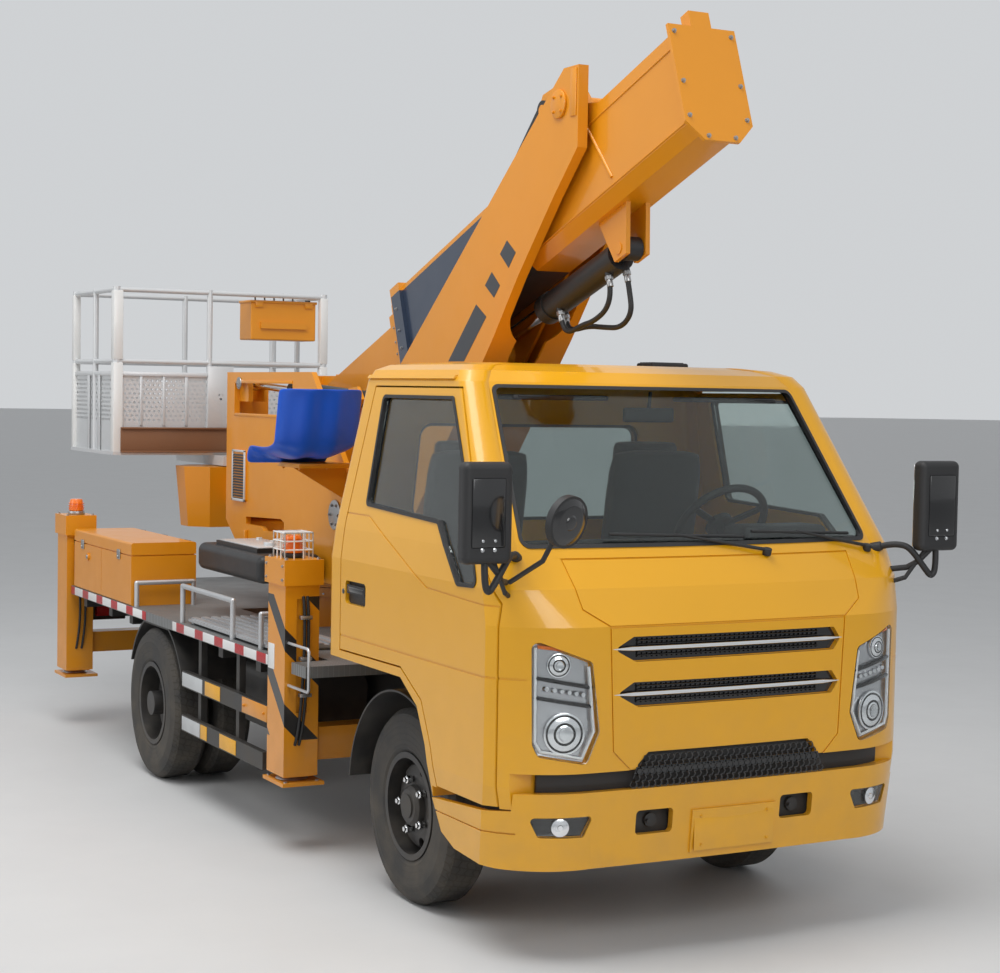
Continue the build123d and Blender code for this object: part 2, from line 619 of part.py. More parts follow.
# Outriggers: the front pair slides out sideways, and each leg comes down in its column
def column_at(x, top, cap_z):
    """A hollow column with a wider cap over its cylinder."""
    outer = block(x - COLUMN_X / 2, x + COLUMN_X / 2, LEG_Y - COLUMN_Y / 2, LEG_Y + COLUMN_Y / 2, 340, top)
    half_x = COLUMN_X / 2 - COLUMN_T
    half_y = COLUMN_Y / 2 - COLUMN_T
    cap = block(x - 118, x + 118, LEG_Y - 92, LEG_Y + 92, cap_z, top)
    return outer + cap - block(x - half_x, x + half_x, LEG_Y - half_y, LEG_Y + half_y, 330, top - 15)


def leg_at(x, top):
    """An inner leg with a round ball plate under a dished foot."""
    shaft = block(x - LEG_X / 2, x + LEG_X / 2, LEG_Y - LEG_YW / 2, LEG_Y + LEG_YW / 2, 335, top)
    foot = block(x - 120, x + 120, LEG_Y - 105, LEG_Y + 90, 300, 316)
    neck = Pos(x, LEG_Y, 325) * Cylinder(52, 22)
    return joined([shaft, foot, neck])


sleeve_z0, sleeve_z1 = SLEEVE_Z
FRONT_COLUMN = (1292.0, 1180.0)
REAR_COLUMN = (1262.0, 1146.0)
front_beam = block(FRONT_LEG_X - 50, FRONT_LEG_X + 50, 15, LEG_Y - COLUMN_Y / 2 + 1, sleeve_z0 + 12,
                   sleeve_z1 - 12)
front_column = column_at(FRONT_LEG_X, *FRONT_COLUMN) + front_beam
slot_z = (620, 1120)
front_column = front_column - block(FRONT_LEG_X + 60, FRONT_LEG_X + 120, LEG_Y - 26, LEG_Y + 26, *slot_z)
front_leg = leg_at(FRONT_LEG_X, 1150)
rear_leg = leg_at(REAR_LEG_X, 1090)
for name, turn in (("left", lambda shape: shape), ("right", mirrored)):
    save("outrigger_front_" + name, turn(front_column))
    save("leg_front_" + name, turn(front_leg))
    save("leg_rear_" + name, turn(rear_leg))

sleeve = block(FRONT_LEG_X - 60, FRONT_LEG_X + 60, -790, 790, sleeve_z0, sleeve_z1)
sleeve = sleeve - block(FRONT_LEG_X - 52, FRONT_LEG_X + 52, -800, 800, sleeve_z0 + 8, sleeve_z1 - 8)
frames = [sleeve]
for s in (-1, 1):
    frames.append(block(FRONT_LEG_X - 60, FRONT_LEG_X + 60, s * 325, s * 375, sleeve_z1 - 1, RAIL_Z0))
    frames.append(block(REAR_LEG_X - 60, REAR_LEG_X + 60, s * 325, s * 812, 440, RAIL_Z0))
frames.append(block(REAR_LEG_X - 60, REAR_LEG_X + 60, -380, 380, 440, 500))
rear_column = column_at(REAR_LEG_X, *REAR_COLUMN)
for shift in (-24, 24):
    rear_slot = block(REAR_LEG_X + 60, REAR_LEG_X + 120, LEG_Y + shift - 14, LEG_Y + shift + 14, 900, 1125)
    rear_column = rear_column - rear_slot
frames += [rear_column, mirrored(rear_column)]
save("outrigger_frames", joined(frames))

# Slewing pedestal: a plate on the rails, a drum and the bearing ring
pedestal = joined([
    block(SLEW_X - 430, SLEW_X + 430, -420, 420, RAIL_Z1, DECK_Z0),
    rod_z(SLEW_X, 0, DECK_Z0, SLEW_Z - 45, 350),
    rod_z(SLEW_X, 0, SLEW_Z - 45, SLEW_Z, 410),
])
save("slew_pedestal", pedestal)

# Turntable: a disc, two upright side plates and the blocks that carry the pins
TABLE_PLATE_Y = (315, 343)
TABLE_OUTLINE = [
    (-1800, 1075), (-3080, 1075), (-3400, 1300), (-3400, 2120), (-2180, 2120), (-1700, 1620), (-1620, 1420),
    (-1700, 1180),
]
TABLE_WINDOW = [(-3270, 1895), (-2430, 1895), (-2430, 2060), (-3270, 2060)]
TABLE_SLOT = [(-3083, 1293), (-3083, 1332), (-2570, 1352), (-2526, 1335), (-2526, 1285), (-2810, 1272),
              (-2860, 1293)]
TABLE_INNER = TABLE_PLATE_Y[0]
TABLE_FLOOR_Z = SLEW_Z + 45
REAR_WALL_X = (-3390, -3340)
bar_root = (ARM_PIVOT[0] + BAR_SHIFT[0], ARM_PIVOT[1] + BAR_SHIFT[1])
plate = side_plate(TABLE_OUTLINE, *TABLE_PLATE_Y)
plate = plate - side_plate(TABLE_WINDOW, 300, 360) - side_plate(TABLE_SLOT, 300, 360)
plate = plate - rod_y(*ARM_PIVOT, 300, 400, 35.5)
boss = rod_y(*ARM_PIVOT, 202, TABLE_INNER, 65) - rod_y(*ARM_PIVOT, 100, 400, 35.5)
lug_line = [(REAR_WALL_X[1], 1960), (-3140, 1960), (-3140, 2110), (REAR_WALL_X[1], 2110)]
lift_lug = side_plate(lug_line, 205, 222) + side_plate(lug_line, 288, TABLE_INNER)
lift_lug = lift_lug + rod_y(*LIFT_ANCHOR, 206, 300, 19.5)
vent = block(-3272, -3076, TABLE_PLATE_Y[1], TABLE_PLATE_Y[1] + 9, 1412, 1694)
vent = fillet(vent.edges().filter_by(Axis.Y), 14)
bar_stand = joined([
    block(-2330, -1990, -140, 140, TABLE_FLOOR_Z + 18, 1380),
    side_plate([(-2330, 1370), (-1990, 1370), (-2000, 1460), (-2100, 1475)], -140, 140),
    rod_y(*bar_root, -168, 168, 24.5),
])
table = [
    rod_z(SLEW_X, 0, SLEW_Z + 5, TABLE_FLOOR_Z, 430),
    block(-3080, -1830, -TABLE_INNER, TABLE_INNER, TABLE_FLOOR_Z, TABLE_FLOOR_Z + 18),
    side_plate([(-3080, 1075), (-3080, 1093), (-3390, 1312), (-3390, 1294)], -TABLE_INNER, TABLE_INNER),
    block(*REAR_WALL_X, -TABLE_INNER, TABLE_INNER, 1312, 1500),
    block(*REAR_WALL_X, 120, TABLE_INNER, 1500, 2110),
    block(*REAR_WALL_X, -TABLE_INNER, -120, 1500, 2110),
    bar_stand, plate, mirrored(plate), boss, mirrored(boss), lift_lug, mirrored(lift_lug), mirrored(vent),
]
save("turntable", compound(table))

# Oil tank on the turntable's right side, and the control valve in front of it
oil_tank = soft_block(-2865, -1950, -700, -362, 1078, 1218, 40)
tank_lip = block(-2700, -2110, -650, -400, 1210, 1240)
tank_feet = [block(x - 40, x + 40, -420, -343, 1084, 1160) for x in (-2700, -2100)]
save("oil_tank", joined([oil_tank, tank_lip, *tank_feet]))

# Operator's seat at the right side of the turntable, facing rearward, on a bracket with a foot rail
SEAT_SHIFT = -260
shell = joined([
    fillet(block(-1690, -1220, -800, -400, 1690, 1726).edges(), 14),
    fillet(side_plate([(-1262, 1712), (-1216, 1705), (-1150, 2040), (-1192, 2045)], -800, -400).edges(), 14),
])
seat_stand = block(-1620, -1340, -560, -344, 1648, 1691)
save("operator_seat", Pos(SEAT_SHIFT, 0, 0) * (shell + seat_stand))

# Lower arm: two cheeks on a foot tube, a front plate with a round-bottomed opening that the boom's root and the
# luffing cylinder pass through, and a short back plate. They are separate solids that touch.
CHEEK_Y = (175, 195)
ARM_OUTLINE = [
    (-1950, 1760), (-120, 3200), (60, 3340), (165, 3340), (165, 3020), (-20, 2840), (-310, 2530), (-520,
                                                                                                   2280),
    (-640, 2150), (-1450, 1270), (-1700, 1240), (-1900, 1310), (-1985, 1450),
]
FRONT_LINE = ARM_OUTLINE[3:10]
FRONT_OUTER = [(179, 3340), (179, 3014), (-9, 2830), (-299, 2521), (-509, 2270), (-629, 2140), (-1440, 1261)]
LUG_OUTLINE = [(-1890, 1770), (-1640, 1990), (-1700, 2050), (-1800, 2040), (-1832, 1930), (-1890, 1830)]
# Round-bottomed openings in the front plate. Columns: half width, z where the round begins, z of its bottom, top z
ARM_OPENINGS = [(150, 2355, 2240, 3450), (76, 2190, 2120, 2400)]


def arch(half, spring_z, foot_z, top_z):
    """A round-bottomed opening seen from the front, as a solid to cut with."""
    x = -900
    edges = [
        Line((x, -half, top_z), (x, -half, spring_z)),
        ThreePointArc((x, -half, spring_z), (x, 0, foot_z), (x, half, spring_z)),
        Line((x, half, spring_z), (x, half, top_z)),
        Line((x, half, top_z), (x, -half, top_z)),
    ]
    return extrude(make_face(Wire(edges)), amount=1200, dir=(1, 0, 0))


opening = joined([arch(*row) for row in ARM_OPENINGS])
cheek = side_plate(ARM_OUTLINE, *CHEEK_Y)
arm_lug = joined([
    side_plate(LUG_OUTLINE, 205, 222), side_plate(LUG_OUTLINE, 288, 305), rod_y(-1842, 1828, CHEEK_Y[1],
                                                                                305, 28),
])
foot_stub = rod_y(*ARM_PIVOT, CHEEK_Y[1], 345, 35)
arm = [
    cheek, mirrored(cheek), arm_lug, mirrored(arm_lug), foot_stub, mirrored(foot_stub),
    rod_y(*ARM_PIVOT, -CHEEK_Y[0], CHEEK_Y[0], 62),
    rod_y(*KNUCKLE, -CHEEK_Y[0], CHEEK_Y[0], 39.6),
    side_plate([(-1450, 1270), (-1700, 1240), (-1700, 1254), (-1452, 1284)], -CHEEK_Y[0], CHEEK_Y[0]),
    side_plate([(-1950, 1760), (-1600, 2035), (-1591, 2023), (-1940, 1748)], -CHEEK_Y[0], CHEEK_Y[0]),
]
for n in range(len(FRONT_LINE) - 1):
    bend = [FRONT_LINE[n], FRONT_LINE[n + 1], FRONT_OUTER[n + 1], FRONT_OUTER[n]]
    arm.append(side_plate(bend, -CHEEK_Y[1], CHEEK_Y[1]) - opening)
save("lower_arm", compound(arm))


def link_bar(a, b, r, y0, y1, bore):
    """A flat bar with round eyes at a and b."""
    way = Vector(b[0] - a[0], 0, b[1] - a[1]).normalized()
    nx, nz = -way.Z * r, way.X * r
    corners = [(a[0] + nx, a[1] + nz), (b[0] + nx, b[1] + nz), (b[0] - nx, b[1] - nz), (a[0] - nx, a[1] - nz)]
    bar = side_plate(corners, y0, y1) + rod_y(*a, y0, y1, r * 1.25) + rod_y(*b, y0, y1, r * 1.25)
    return bar - rod_y(*a, y0 - 5, y1 + 5, bore) - rod_y(*b, y0 - 5, y1 + 5, bore)


# Tie bars beside the arm's cheeks keep the knuckle head upright while the arm lifts
bar_top = (KNUCKLE[0] + BAR_SHIFT[0], KNUCKLE[1] + BAR_SHIFT[1])
tie_bar = link_bar(bar_root, bar_top, 34, 150, 165, 25)
save("tie_bars", both_sides(tie_bar))

# Knuckle head: two plates that carry the boom's pivot, with a tail for the luffing cylinder
HEAD_OUTLINE = [
    (140, 3260), (60, 3325), (-200, 3270), (-255, 3180), (-1120, 2200), (-1165, 2080), (-1090,
                                                                                        2000), (-880, 2110),
    (60, 3085), (140, 3150),
]
head_plate = side_plate(HEAD_OUTLINE, 130, 145) - rod_y(*KNUCKLE, 100, 300, 40)
luff_boss = rod_y(*LUFF_ANCHOR, 42, 130, 48)
bar_pin = rod_y(*bar_top, 145, 167, 24.5)
tail_tube = rod_y(-1090, 2080, -130, 130, 36)
head = [head_plate, mirrored(head_plate), luff_boss, mirrored(luff_boss), bar_pin, mirrored(bar_pin),
        tail_tube]
save("knuckle_head", compound(head))


def along(a, b, distance):
    """The (x, z) at a distance from a towards b."""
    length = math.dist(a, b)
    return a[0] + (b[0] - a[0]) * distance / length, a[1] + (b[1] - a[1]) * distance / length


def cylinder_rod(a, b, reach, r, eye_r, eye_y, pin_r):
    """A rod with its eye at a that points at b."""
    start = along(a, b, eye_r * 0.6)
    end = along(a, b, reach)
    y = sum(eye_y) / 2
    rod = rod_between((start[0], y, start[1]), (end[0], y, end[1]), r)
    rod = rod + rod_y(*a, *eye_y, eye_r)
    return rod - rod_y(*a, eye_y[0] - 5, eye_y[1] + 5, pin_r)


def cylinder_barrel(a, b, length, r, rod_r, eye_r, eye_y, pin_r, neck):
    """A barrel with its eye at a, and an open mouth with a gland nut towards b."""
    start = along(a, b, eye_r + neck)
    end = along(a, b, length)
    y = sum(eye_y) / 2
    barrel = rod_between((start[0], y, start[1]), (end[0], y, end[1]), r)
    nut = along(a, b, length - 60)
    barrel = barrel + rod_between((nut[0], y, nut[1]), (end[0], y, end[1]), r + 6)
    root = along(a, b, eye_r * 0.6)
    barrel = barrel + rod_between((root[0], y, root[1]), (start[0], y, start[1]),
                                  (eye_y[1] - eye_y[0]) * 0.45)
    inner = along(a, b, eye_r + neck + 20)
    mouth = along(a, b, length + 5)
    barrel = barrel - rod_between((inner[0], y, inner[1]), (mouth[0], y, mouth[1]), rod_r + 1)
    barrel = barrel + rod_y(*a, *eye_y, eye_r)
    return barrel - rod_y(*a, eye_y[0] - 5, eye_y[1] + 5, pin_r)


# Lift cylinders: rods pinned to the turntable, barrels to the arm's lugs
lift_rod = cylinder_rod(LIFT_ANCHOR, LIFT_EYE, 900, 27, 42, (226, 284), 20)
lift_barrel = cylinder_barrel(LIFT_EYE, LIFT_ANCHOR, 860, 42, 27, 42, (226, 284), 20, 45)
save("lift_rods", both_sides(lift_rod))
save("lift_barrels", both_sides(lift_barrel))

# Upper boom: four box sections, one in another, all on the same centre line
COLLAR_START = BOOM_COLLAR_RUN - 90
COLLAR_END = BOOM_COLLAR_RUN + 10
base_plates = boom_tube(0, COLLAR_START, 125, 205, 45, 8) + boom_tube(COLLAR_START, COLLAR_END, 145, 225,
                                                                      57, 28)
end_plate = boom_prism(boom_outline(150, 235, 72), -15, 0)
end_post = boom_prism([(-46, -300), (46, -300), (46, -235), (-46, -235)], -15, 40)
knuckle_lug = side_plate([on_boom(560, -205), on_boom(1020, -205), (-45, 3200), (30, 3290), (115, 3200)],
                         80, 124)
knuckle_lug = largest(knuckle_lug - rod_y(*KNUCKLE, -300, 300, 40))
eye_lug = side_plate([on_boom(590, 205), on_boom(810, 205), on_boom(745, 398), on_boom(655, 398)], 36, 56)
eye_lug = eye_lug - rod_y(*LUFF_EYE, 30, 60, 24.5)
eye_pin = rod_y(*LUFF_EYE, -60, 60, 24.5)
pieces = [*base_plates, end_plate, end_post, knuckle_lug, mirrored(knuckle_lug), eye_lug,
          mirrored(eye_lug), eye_pin]
save("boom_base", compound(pieces))

second = boom_tube(160, 2590, 107, 178, 38, 7) + boom_tube(2590, 2660, 107, 178, 38, 15)
save("boom_second", compound(second))
third = boom_tube(250, 2665, 90, 148, 32, 6.5) + boom_tube(2665, 2735, 90, 148, 32, 15)
save("boom_third", compound(third))
TIP_E = on_boom(TIP_RUN)
tip = boom_tube(340, TIP_RUN - 160, 72.5, 107.5, 26, 6)
tip_head = boom_prism(boom_outline(72.5, 107.5, 26), TIP_RUN - 160, TIP_RUN - 80)
ears = boom_box(TIP_RUN - 81, TIP_RUN, 70, 60) - boom_box(TIP_RUN - 80, TIP_RUN + 200, 50, 120)
ears = ears + rod_y(*TIP_E, -70, -50, 60) + rod_y(*TIP_E, 50, 70, 60)
save("boom_tip", compound([*tip, largest(tip_head + ears - rod_y(*TIP_E, -100, 100, 25))]))

# Luffing cylinder: the barrel hangs on the boom's root, the rod reaches into the knuckle head.
# Two hoses hang in loops under the barrel, between the bosses at its head and those near its mouth.
# Columns: distance from the eye along the cylinder, distance below its centre line, y
HOSE_R = 11.0
HOSE_BEND = 46.0
BOSS_DROP = 62.0
LONG_HOSE = [
    (90, BOSS_DROP, 24), (90, 150, 24), (102, 235, 26), (200, 262, 28), (330, 212, 28), (430, 170,
                                                                                         26), (548, 146, 24),
    (600, 116, 24), (600, BOSS_DROP, 24),
]
SHORT_HOSE = [
    (150, BOSS_DROP, -24), (150, 125, -24), (200, 186, -26), (310, 196, -28), (400, 178, -26), (515, 172,
                                                                                                -24),
    (560, 128, -24), (560, BOSS_DROP, -24),
]
luff_way = Vector(LUFF_ANCHOR[0] - LUFF_EYE[0], 0, LUFF_ANCHOR[1] - LUFF_EYE[1]).normalized()


def on_luff(run, drop, y):
    """A point by its distance from the eye along the luffing cylinder, and below its centre line."""
    x = LUFF_EYE[0] + luff_way.X * run - luff_way.Z * drop
    z = LUFF_EYE[1] + luff_way.Z * run + luff_way.X * drop
    return x, y, z


luff_barrel = cylinder_barrel(LUFF_EYE, LUFF_ANCHOR, 700, 60, 34, 48, (-32, 32), 25, 30)
hoses = []
for route in (LONG_HOSE, SHORT_HOSE):
    for run, drop, y in (route[0], route[-1]):
        luff_barrel = luff_barrel + rod_between(on_luff(run, 42, y), on_luff(run, drop, y), HOSE_R + 4)
    path = FilletPolyline(*[on_luff(*row) for row in route], radius=HOSE_BEND)
    start = Plane(origin=path @ 0, z_dir=path % 0)
    hoses.append(sweep(start * Circle(HOSE_R), path=path))
luff_rod = cylinder_rod(LUFF_ANCHOR, LUFF_EYE, 672, 34, 46, (-32, 32), 26)
save("luff_barrel", luff_barrel)
save("luff_rod", luff_rod)
save("luff_hoses", compound(hoses))

# Leveller: a hollow bracket on the boom's tip that keeps the basket upright and carries its turning post
LEVELLER_Z = (1200, 1560)
LEVELLER_PLAN = [
    (-4095, -190), (-4095, 190), (-4200, 290), (-4330, 290), (-4440, 180), (-4440, -180), (-4330,
                                                                                           -290), (-4200, -290),
]
outline = make_face(Polyline(*[(x, y, LEVELLER_Z[0]) for x, y in LEVELLER_PLAN], close=True))
housing = extrude(outline, amount=LEVELLER_Z[1] - LEVELLER_Z[0], dir=(0, 0, 1), taper=-5)
cavity = extrude(grown(outline, -14).face(), amount=LEVELLER_Z[1] - LEVELLER_Z[0] - 40, dir=(0, 0, 1),
                 taper=-5)
housing = housing - cavity + rod_z(BASKET_POST_X, 0, LEVELLER_Z[0], LEVELLER_Z[1] - 10, 60)
fork_side = [(-4105, 1330), (TIP_E[0], TIP_E[1] - 60), (TIP_E[0], TIP_E[1] + 60), (-4105, 1540)]
forks = []
for y in (-95, 80):
    forks.append(side_plate(fork_side, y, y + 15) + rod_y(*TIP_E, y, y + 15, 60))
leveller = joined([housing, *forks, rod_y(*TIP_E, -96, 96, 24.5)])
leveller = leveller - rod_z(BASKET_POST_X, 0, 1480, 1600, 40)
save("leveller", leveller)

# Basket: a floor on a bearer, and round it a frame of tubes with kick panels between the lower ones.
# The tubes, the panels and the floor are separate solids that touch.
bx0, bx1 = BASKET_X
by0, by1 = BASKET_Y
bz0, bz1 = BASKET_Z
TUBE_R = 15.0
CORNER_POST_R = 22.0
MIDDLE_POST_R = 17.0
POST_IN = CORNER_POST_R + 2
PANEL_TOP = 2115.0
floor_z = bz0 + 20
corner_x = (bx0 + POST_IN, bx1 - POST_IN)
corner_y = (by0 + POST_IN, by1 - POST_IN)
front_post_y = -135.0
rear_post_y = 0.0
middle_places = [((bx0 + bx1) / 2, y) for y in corner_y] + [(corner_x[1], front_post_y),
                                                            (corner_x[0], rear_post_y)]
posts = [rod_z(x, y, floor_z, bz1, CORNER_POST_R) for x in corner_x for y in corner_y]
posts += [rod_z(x, y, floor_z, bz1 - 2, MIDDLE_POST_R) for x, y in middle_places]
basket = [
    block(bx0, bx1, by0, by1, bz0, floor_z),
    block(bx0 + 200, BASKET_POST_X + 60, -110, 110, 1566, bz0),
    rod_z(BASKET_POST_X, 0, 1490, 1566, 38),
    *posts,
]
all_posts = joined(posts)


def rail_x(y, z):
    return rod_between((corner_x[0], y, z), (corner_x[1], y, z), TUBE_R) - all_posts


def rail_y(x, z):
    return rod_between((x, corner_y[0], z), (x, corner_y[1], z), TUBE_R) - all_posts


for z in (2180.0, bz1 - TUBE_R - 3):
    basket += [rail_x(y, z) for y in corner_y]
    basket += [rail_y(x, z) for x in corner_x]
# Each row is one side's row of posts: the corners' radius at its ends, the middle post's between them
x_stops = (corner_x[0] + CORNER_POST_R, (bx0 + bx1) / 2, corner_x[1] - CORNER_POST_R)
for y in corner_y:
    basket.append(block(x_stops[0], x_stops[1] - MIDDLE_POST_R, y - 2, y + 2, floor_z, PANEL_TOP))
    basket.append(block(x_stops[1] + MIDDLE_POST_R, x_stops[2], y - 2, y + 2, floor_z, PANEL_TOP))
for x, middle in ((corner_x[0], rear_post_y), (corner_x[1], front_post_y)):
    y0, y1 = corner_y[0] + CORNER_POST_R, corner_y[1] - CORNER_POST_R
    basket.append(block(x - 2, x + 2, y0, middle - MIDDLE_POST_R, floor_z, PANEL_TOP))
    basket.append(block(x - 2, x + 2, middle + MIDDLE_POST_R, y1, floor_z, PANEL_TOP))
save("basket", compound(basket))

# Control box on the left of the basket's front rail
control = soft_block(bx1 - 250, bx1 - 50, 140, 566, 2330, 2565, 8)
bracket = block(bx1 - 52, bx1 - 37, 200, 500, 2400, 2440)
save("basket_box", control + bracket)
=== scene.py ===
import math

import bmesh
import bpy
from mathutils import Matrix, Vector


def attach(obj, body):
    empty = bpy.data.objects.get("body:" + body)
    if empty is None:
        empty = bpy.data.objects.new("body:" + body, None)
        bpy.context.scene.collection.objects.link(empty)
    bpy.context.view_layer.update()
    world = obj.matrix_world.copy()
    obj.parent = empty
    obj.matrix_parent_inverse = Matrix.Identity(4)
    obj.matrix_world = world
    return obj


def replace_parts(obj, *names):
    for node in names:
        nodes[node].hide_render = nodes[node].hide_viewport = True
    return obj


# A small cab-over truck with an articulated and telescopic access platform, in its travel pose.
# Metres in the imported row's frame: +X forward, +Y the vehicle's left, +Z up, the floor is Z = 0.
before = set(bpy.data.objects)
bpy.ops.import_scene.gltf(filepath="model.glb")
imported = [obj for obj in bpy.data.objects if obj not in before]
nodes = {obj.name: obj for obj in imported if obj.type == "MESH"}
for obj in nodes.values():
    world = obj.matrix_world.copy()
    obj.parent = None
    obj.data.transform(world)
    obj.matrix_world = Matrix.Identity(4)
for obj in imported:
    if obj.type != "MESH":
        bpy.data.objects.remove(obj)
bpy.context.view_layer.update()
scene = bpy.context.scene

# Camera: eye height off the truck's front right corner, on a lens a little longer than normal.
# Its place, turn and roll put the wheels, the cab and the deck's edges where the photograph has them.
AXLE_X = 1.9573
EYE = Vector((6.869 + AXLE_X, -4.097, 2.036))
LENS, SENSOR = 69.6, 36.0
yaw, pitch, roll = math.radians(151.85), math.radians(-2.8), math.radians(0.99)
forward = Vector((math.cos(pitch) * math.cos(yaw), math.cos(pitch) * math.sin(yaw), math.sin(pitch)))
level_right = forward.cross(Vector((0, 0, 1))).normalized()
level_up = level_right.cross(forward)
right = math.cos(roll) * level_right + math.sin(roll) * level_up
up = math.cos(roll) * level_up - math.sin(roll) * level_right
camera = bpy.data.objects.new("camera", bpy.data.cameras.new("camera"))
scene.collection.objects.link(camera)
camera.matrix_world = Matrix((
    (right.x, up.x, -forward.x, EYE.x),
    (right.y, up.y, -forward.y, EYE.y),
    (right.z, up.z, -forward.z, EYE.z),
    (0, 0, 0, 1),
))
camera.data.sensor_width = SENSOR
camera.data.lens = LENS
camera.data.clip_end = 200.0
scene.camera = camera

# Hydraulic hoses: two loops that hang under the luffing cylinder, from its eye to its gland.
# Rubber over braided steel wire, 22 mm across, with hexagon steel fittings crimped on both ends and
# screwed into the barrel. Every finish starts from the same worn surface, which is built here.


class Signal:
    """A shader value that takes ordinary arithmetic: each step makes one Math node."""

    def __init__(self, tree, socket):
        self.tree, self.socket = tree, socket

    def __add__(self, other):
        return calc(self.tree, "ADD", self, other)

    def __sub__(self, other):
        return calc(self.tree, "SUBTRACT", self, other)

    def __rsub__(self, other):
        return calc(self.tree, "SUBTRACT", other, self)

    def __mul__(self, other):
        return calc(self.tree, "MULTIPLY", self, other)

    def __truediv__(self, other):
        return calc(self.tree, "DIVIDE", self, other)

    def __gt__(self, other):
        return calc(self.tree, "GREATER_THAN", self, other)

    def __lt__(self, other):
        return calc(self.tree, "LESS_THAN", self, other)

    def most(self, other):
        return calc(self.tree, "MAXIMUM", self, other)

    def size(self):
        return calc(self.tree, "ABSOLUTE", self)

    def whole(self):
        return calc(self.tree, "FLOOR", self)

    def fraction(self):
        return calc(self.tree, "FRACT", self)


def feed(tree, socket, value):
    """Links a signal or a socket into a socket, or sets a plain value on it."""
    if isinstance(value, Signal):
        value = value.socket
    if isinstance(value, bpy.types.NodeSocket):
        tree.links.new(value, socket)
    else:
        socket.default_value = value


def calc(tree, operation, *values):
    """A Math node's result, from signals, sockets or numbers."""
    node = tree.nodes.new("ShaderNodeMath")
    node.operation = operation
    for socket, value in zip(node.inputs, values):
        feed(tree, socket, value)
    return Signal(tree, node.outputs[0])


def noise(tree, scale, detail, vector):
    """Soft clouds of a scale, from 0 to 1."""
    node = tree.nodes.new("ShaderNodeTexNoise")
    feed(tree, node.inputs["Scale"], scale)
    node.inputs["Detail"].default_value = detail
    tree.links.new(vector, node.inputs["Vector"])
    return Signal(tree, node.outputs["Fac"])


def ramp(tree, value, low, high, to_low, to_high):
    """A value's range, stretched to another one."""
    node = tree.nodes.new("ShaderNodeMapRange")
    given_values = {"Value": value, "From Min": low, "From Max": high, "To Min": to_low, "To Max": to_high}
    for label, number in given_values.items():
        feed(tree, node.inputs[label], number)
    return Signal(tree, node.outputs["Result"])


def mixed(tree, factor, first, second, blend="MIX"):
    """Two colours mixed by a factor."""
    node = tree.nodes.new("ShaderNodeMix")
    node.data_type = "RGBA"
    node.blend_type = blend
    for socket, value in ((node.inputs[0], factor), (node.inputs[6], first), (node.inputs[7], second)):
        feed(tree, socket, value)
    return node.outputs[2]


def surface_point(tree, kind="Object"):
    """The place of a point on the piece, or the way that the piece faces there."""
    return tree.nodes.new("ShaderNodeTexCoord").outputs[kind]


def axes(tree, vector):
    """A vector's x, y and z."""
    split = tree.nodes.new("ShaderNodeSeparateXYZ")
    tree.links.new(vector, split.inputs[0])
    return [Signal(tree, output) for output in split.outputs]


def new_group(name, inputs, outputs):
    """A shader group with named sockets, and the sockets on its inside."""
    group = bpy.data.node_groups.new(name, "ShaderNodeTree")
    for label, kind, value in inputs:
        group.interface.new_socket(label, in_out="INPUT", socket_type=kind).default_value = value
    for label, kind in outputs:
        group.interface.new_socket(label, in_out="OUTPUT", socket_type=kind)
    return group, group.nodes.new("NodeGroupInput").outputs, group.nodes.new("NodeGroupOutput").inputs


# The worn surface varies a colour, dusts it towards the road and gives it a fine grain.
ROAD_DUST = (0.20, 0.17, 0.13, 1)
DUSTY_BELOW, CLEAN_ABOVE = 0.25, 1.15
BROAD_PATCHES, SMALL_PATCHES = 1.8, 9.0
GRAIN_HEIGHT = 0.002
worn_surface, given, result = new_group(
    "worn_surface",
    [("Color", "NodeSocketColor", (1, 1, 1, 1)), ("Dust Color", "NodeSocketColor", ROAD_DUST),
     ("Dust", "NodeSocketFloat", 0.3), ("Variation", "NodeSocketFloat", 0.08),
     ("Roughness", "NodeSocketFloat", 0.4), ("Grain Scale", "NodeSocketFloat", 300.0),
     ("Grain", "NodeSocketFloat", 0.05)],
    [("Color", "NodeSocketColor"), ("Roughness", "NodeSocketFloat"), ("Normal", "NodeSocketVector")],
)
point = surface_point(worn_surface)
height = axes(worn_surface, point)[2]
broad = noise(worn_surface, BROAD_PATCHES, 5.0, point)
patchy = noise(worn_surface, SMALL_PATCHES, 6.0, point)
shade = calc(worn_surface, "MULTIPLY_ADD", broad - 0.5, given["Variation"], 1.0)
tone = worn_surface.nodes.new("ShaderNodeCombineColor")
for socket in tone.inputs:
    feed(worn_surface, socket, shade)
low_down = ramp(worn_surface, height, DUSTY_BELOW, CLEAN_ABOVE, 1.0, 0.04)
dust = low_down * ramp(worn_surface, patchy, 0.35, 0.75, 0.2, 1.0) * given["Dust"]
varied = mixed(worn_surface, 1.0, given["Color"], tone.outputs[0], "MULTIPLY")
feed(worn_surface, result["Color"], mixed(worn_surface, dust, varied, given["Dust Color"]))
smudge = calc(worn_surface, "MULTIPLY_ADD", patchy - 0.5, 0.18, given["Roughness"])
feed(worn_surface, result["Roughness"], calc(worn_surface, "MULTIPLY_ADD", dust, 0.45, smudge))
bump = worn_surface.nodes.new("ShaderNodeBump")
bump.inputs["Distance"].default_value = GRAIN_HEIGHT
feed(worn_surface, bump.inputs["Strength"], given["Grain"])
feed(worn_surface, bump.inputs["Height"], noise(worn_surface, given["Grain Scale"], 3.0, point))
feed(worn_surface, result["Normal"], bump.outputs["Normal"])


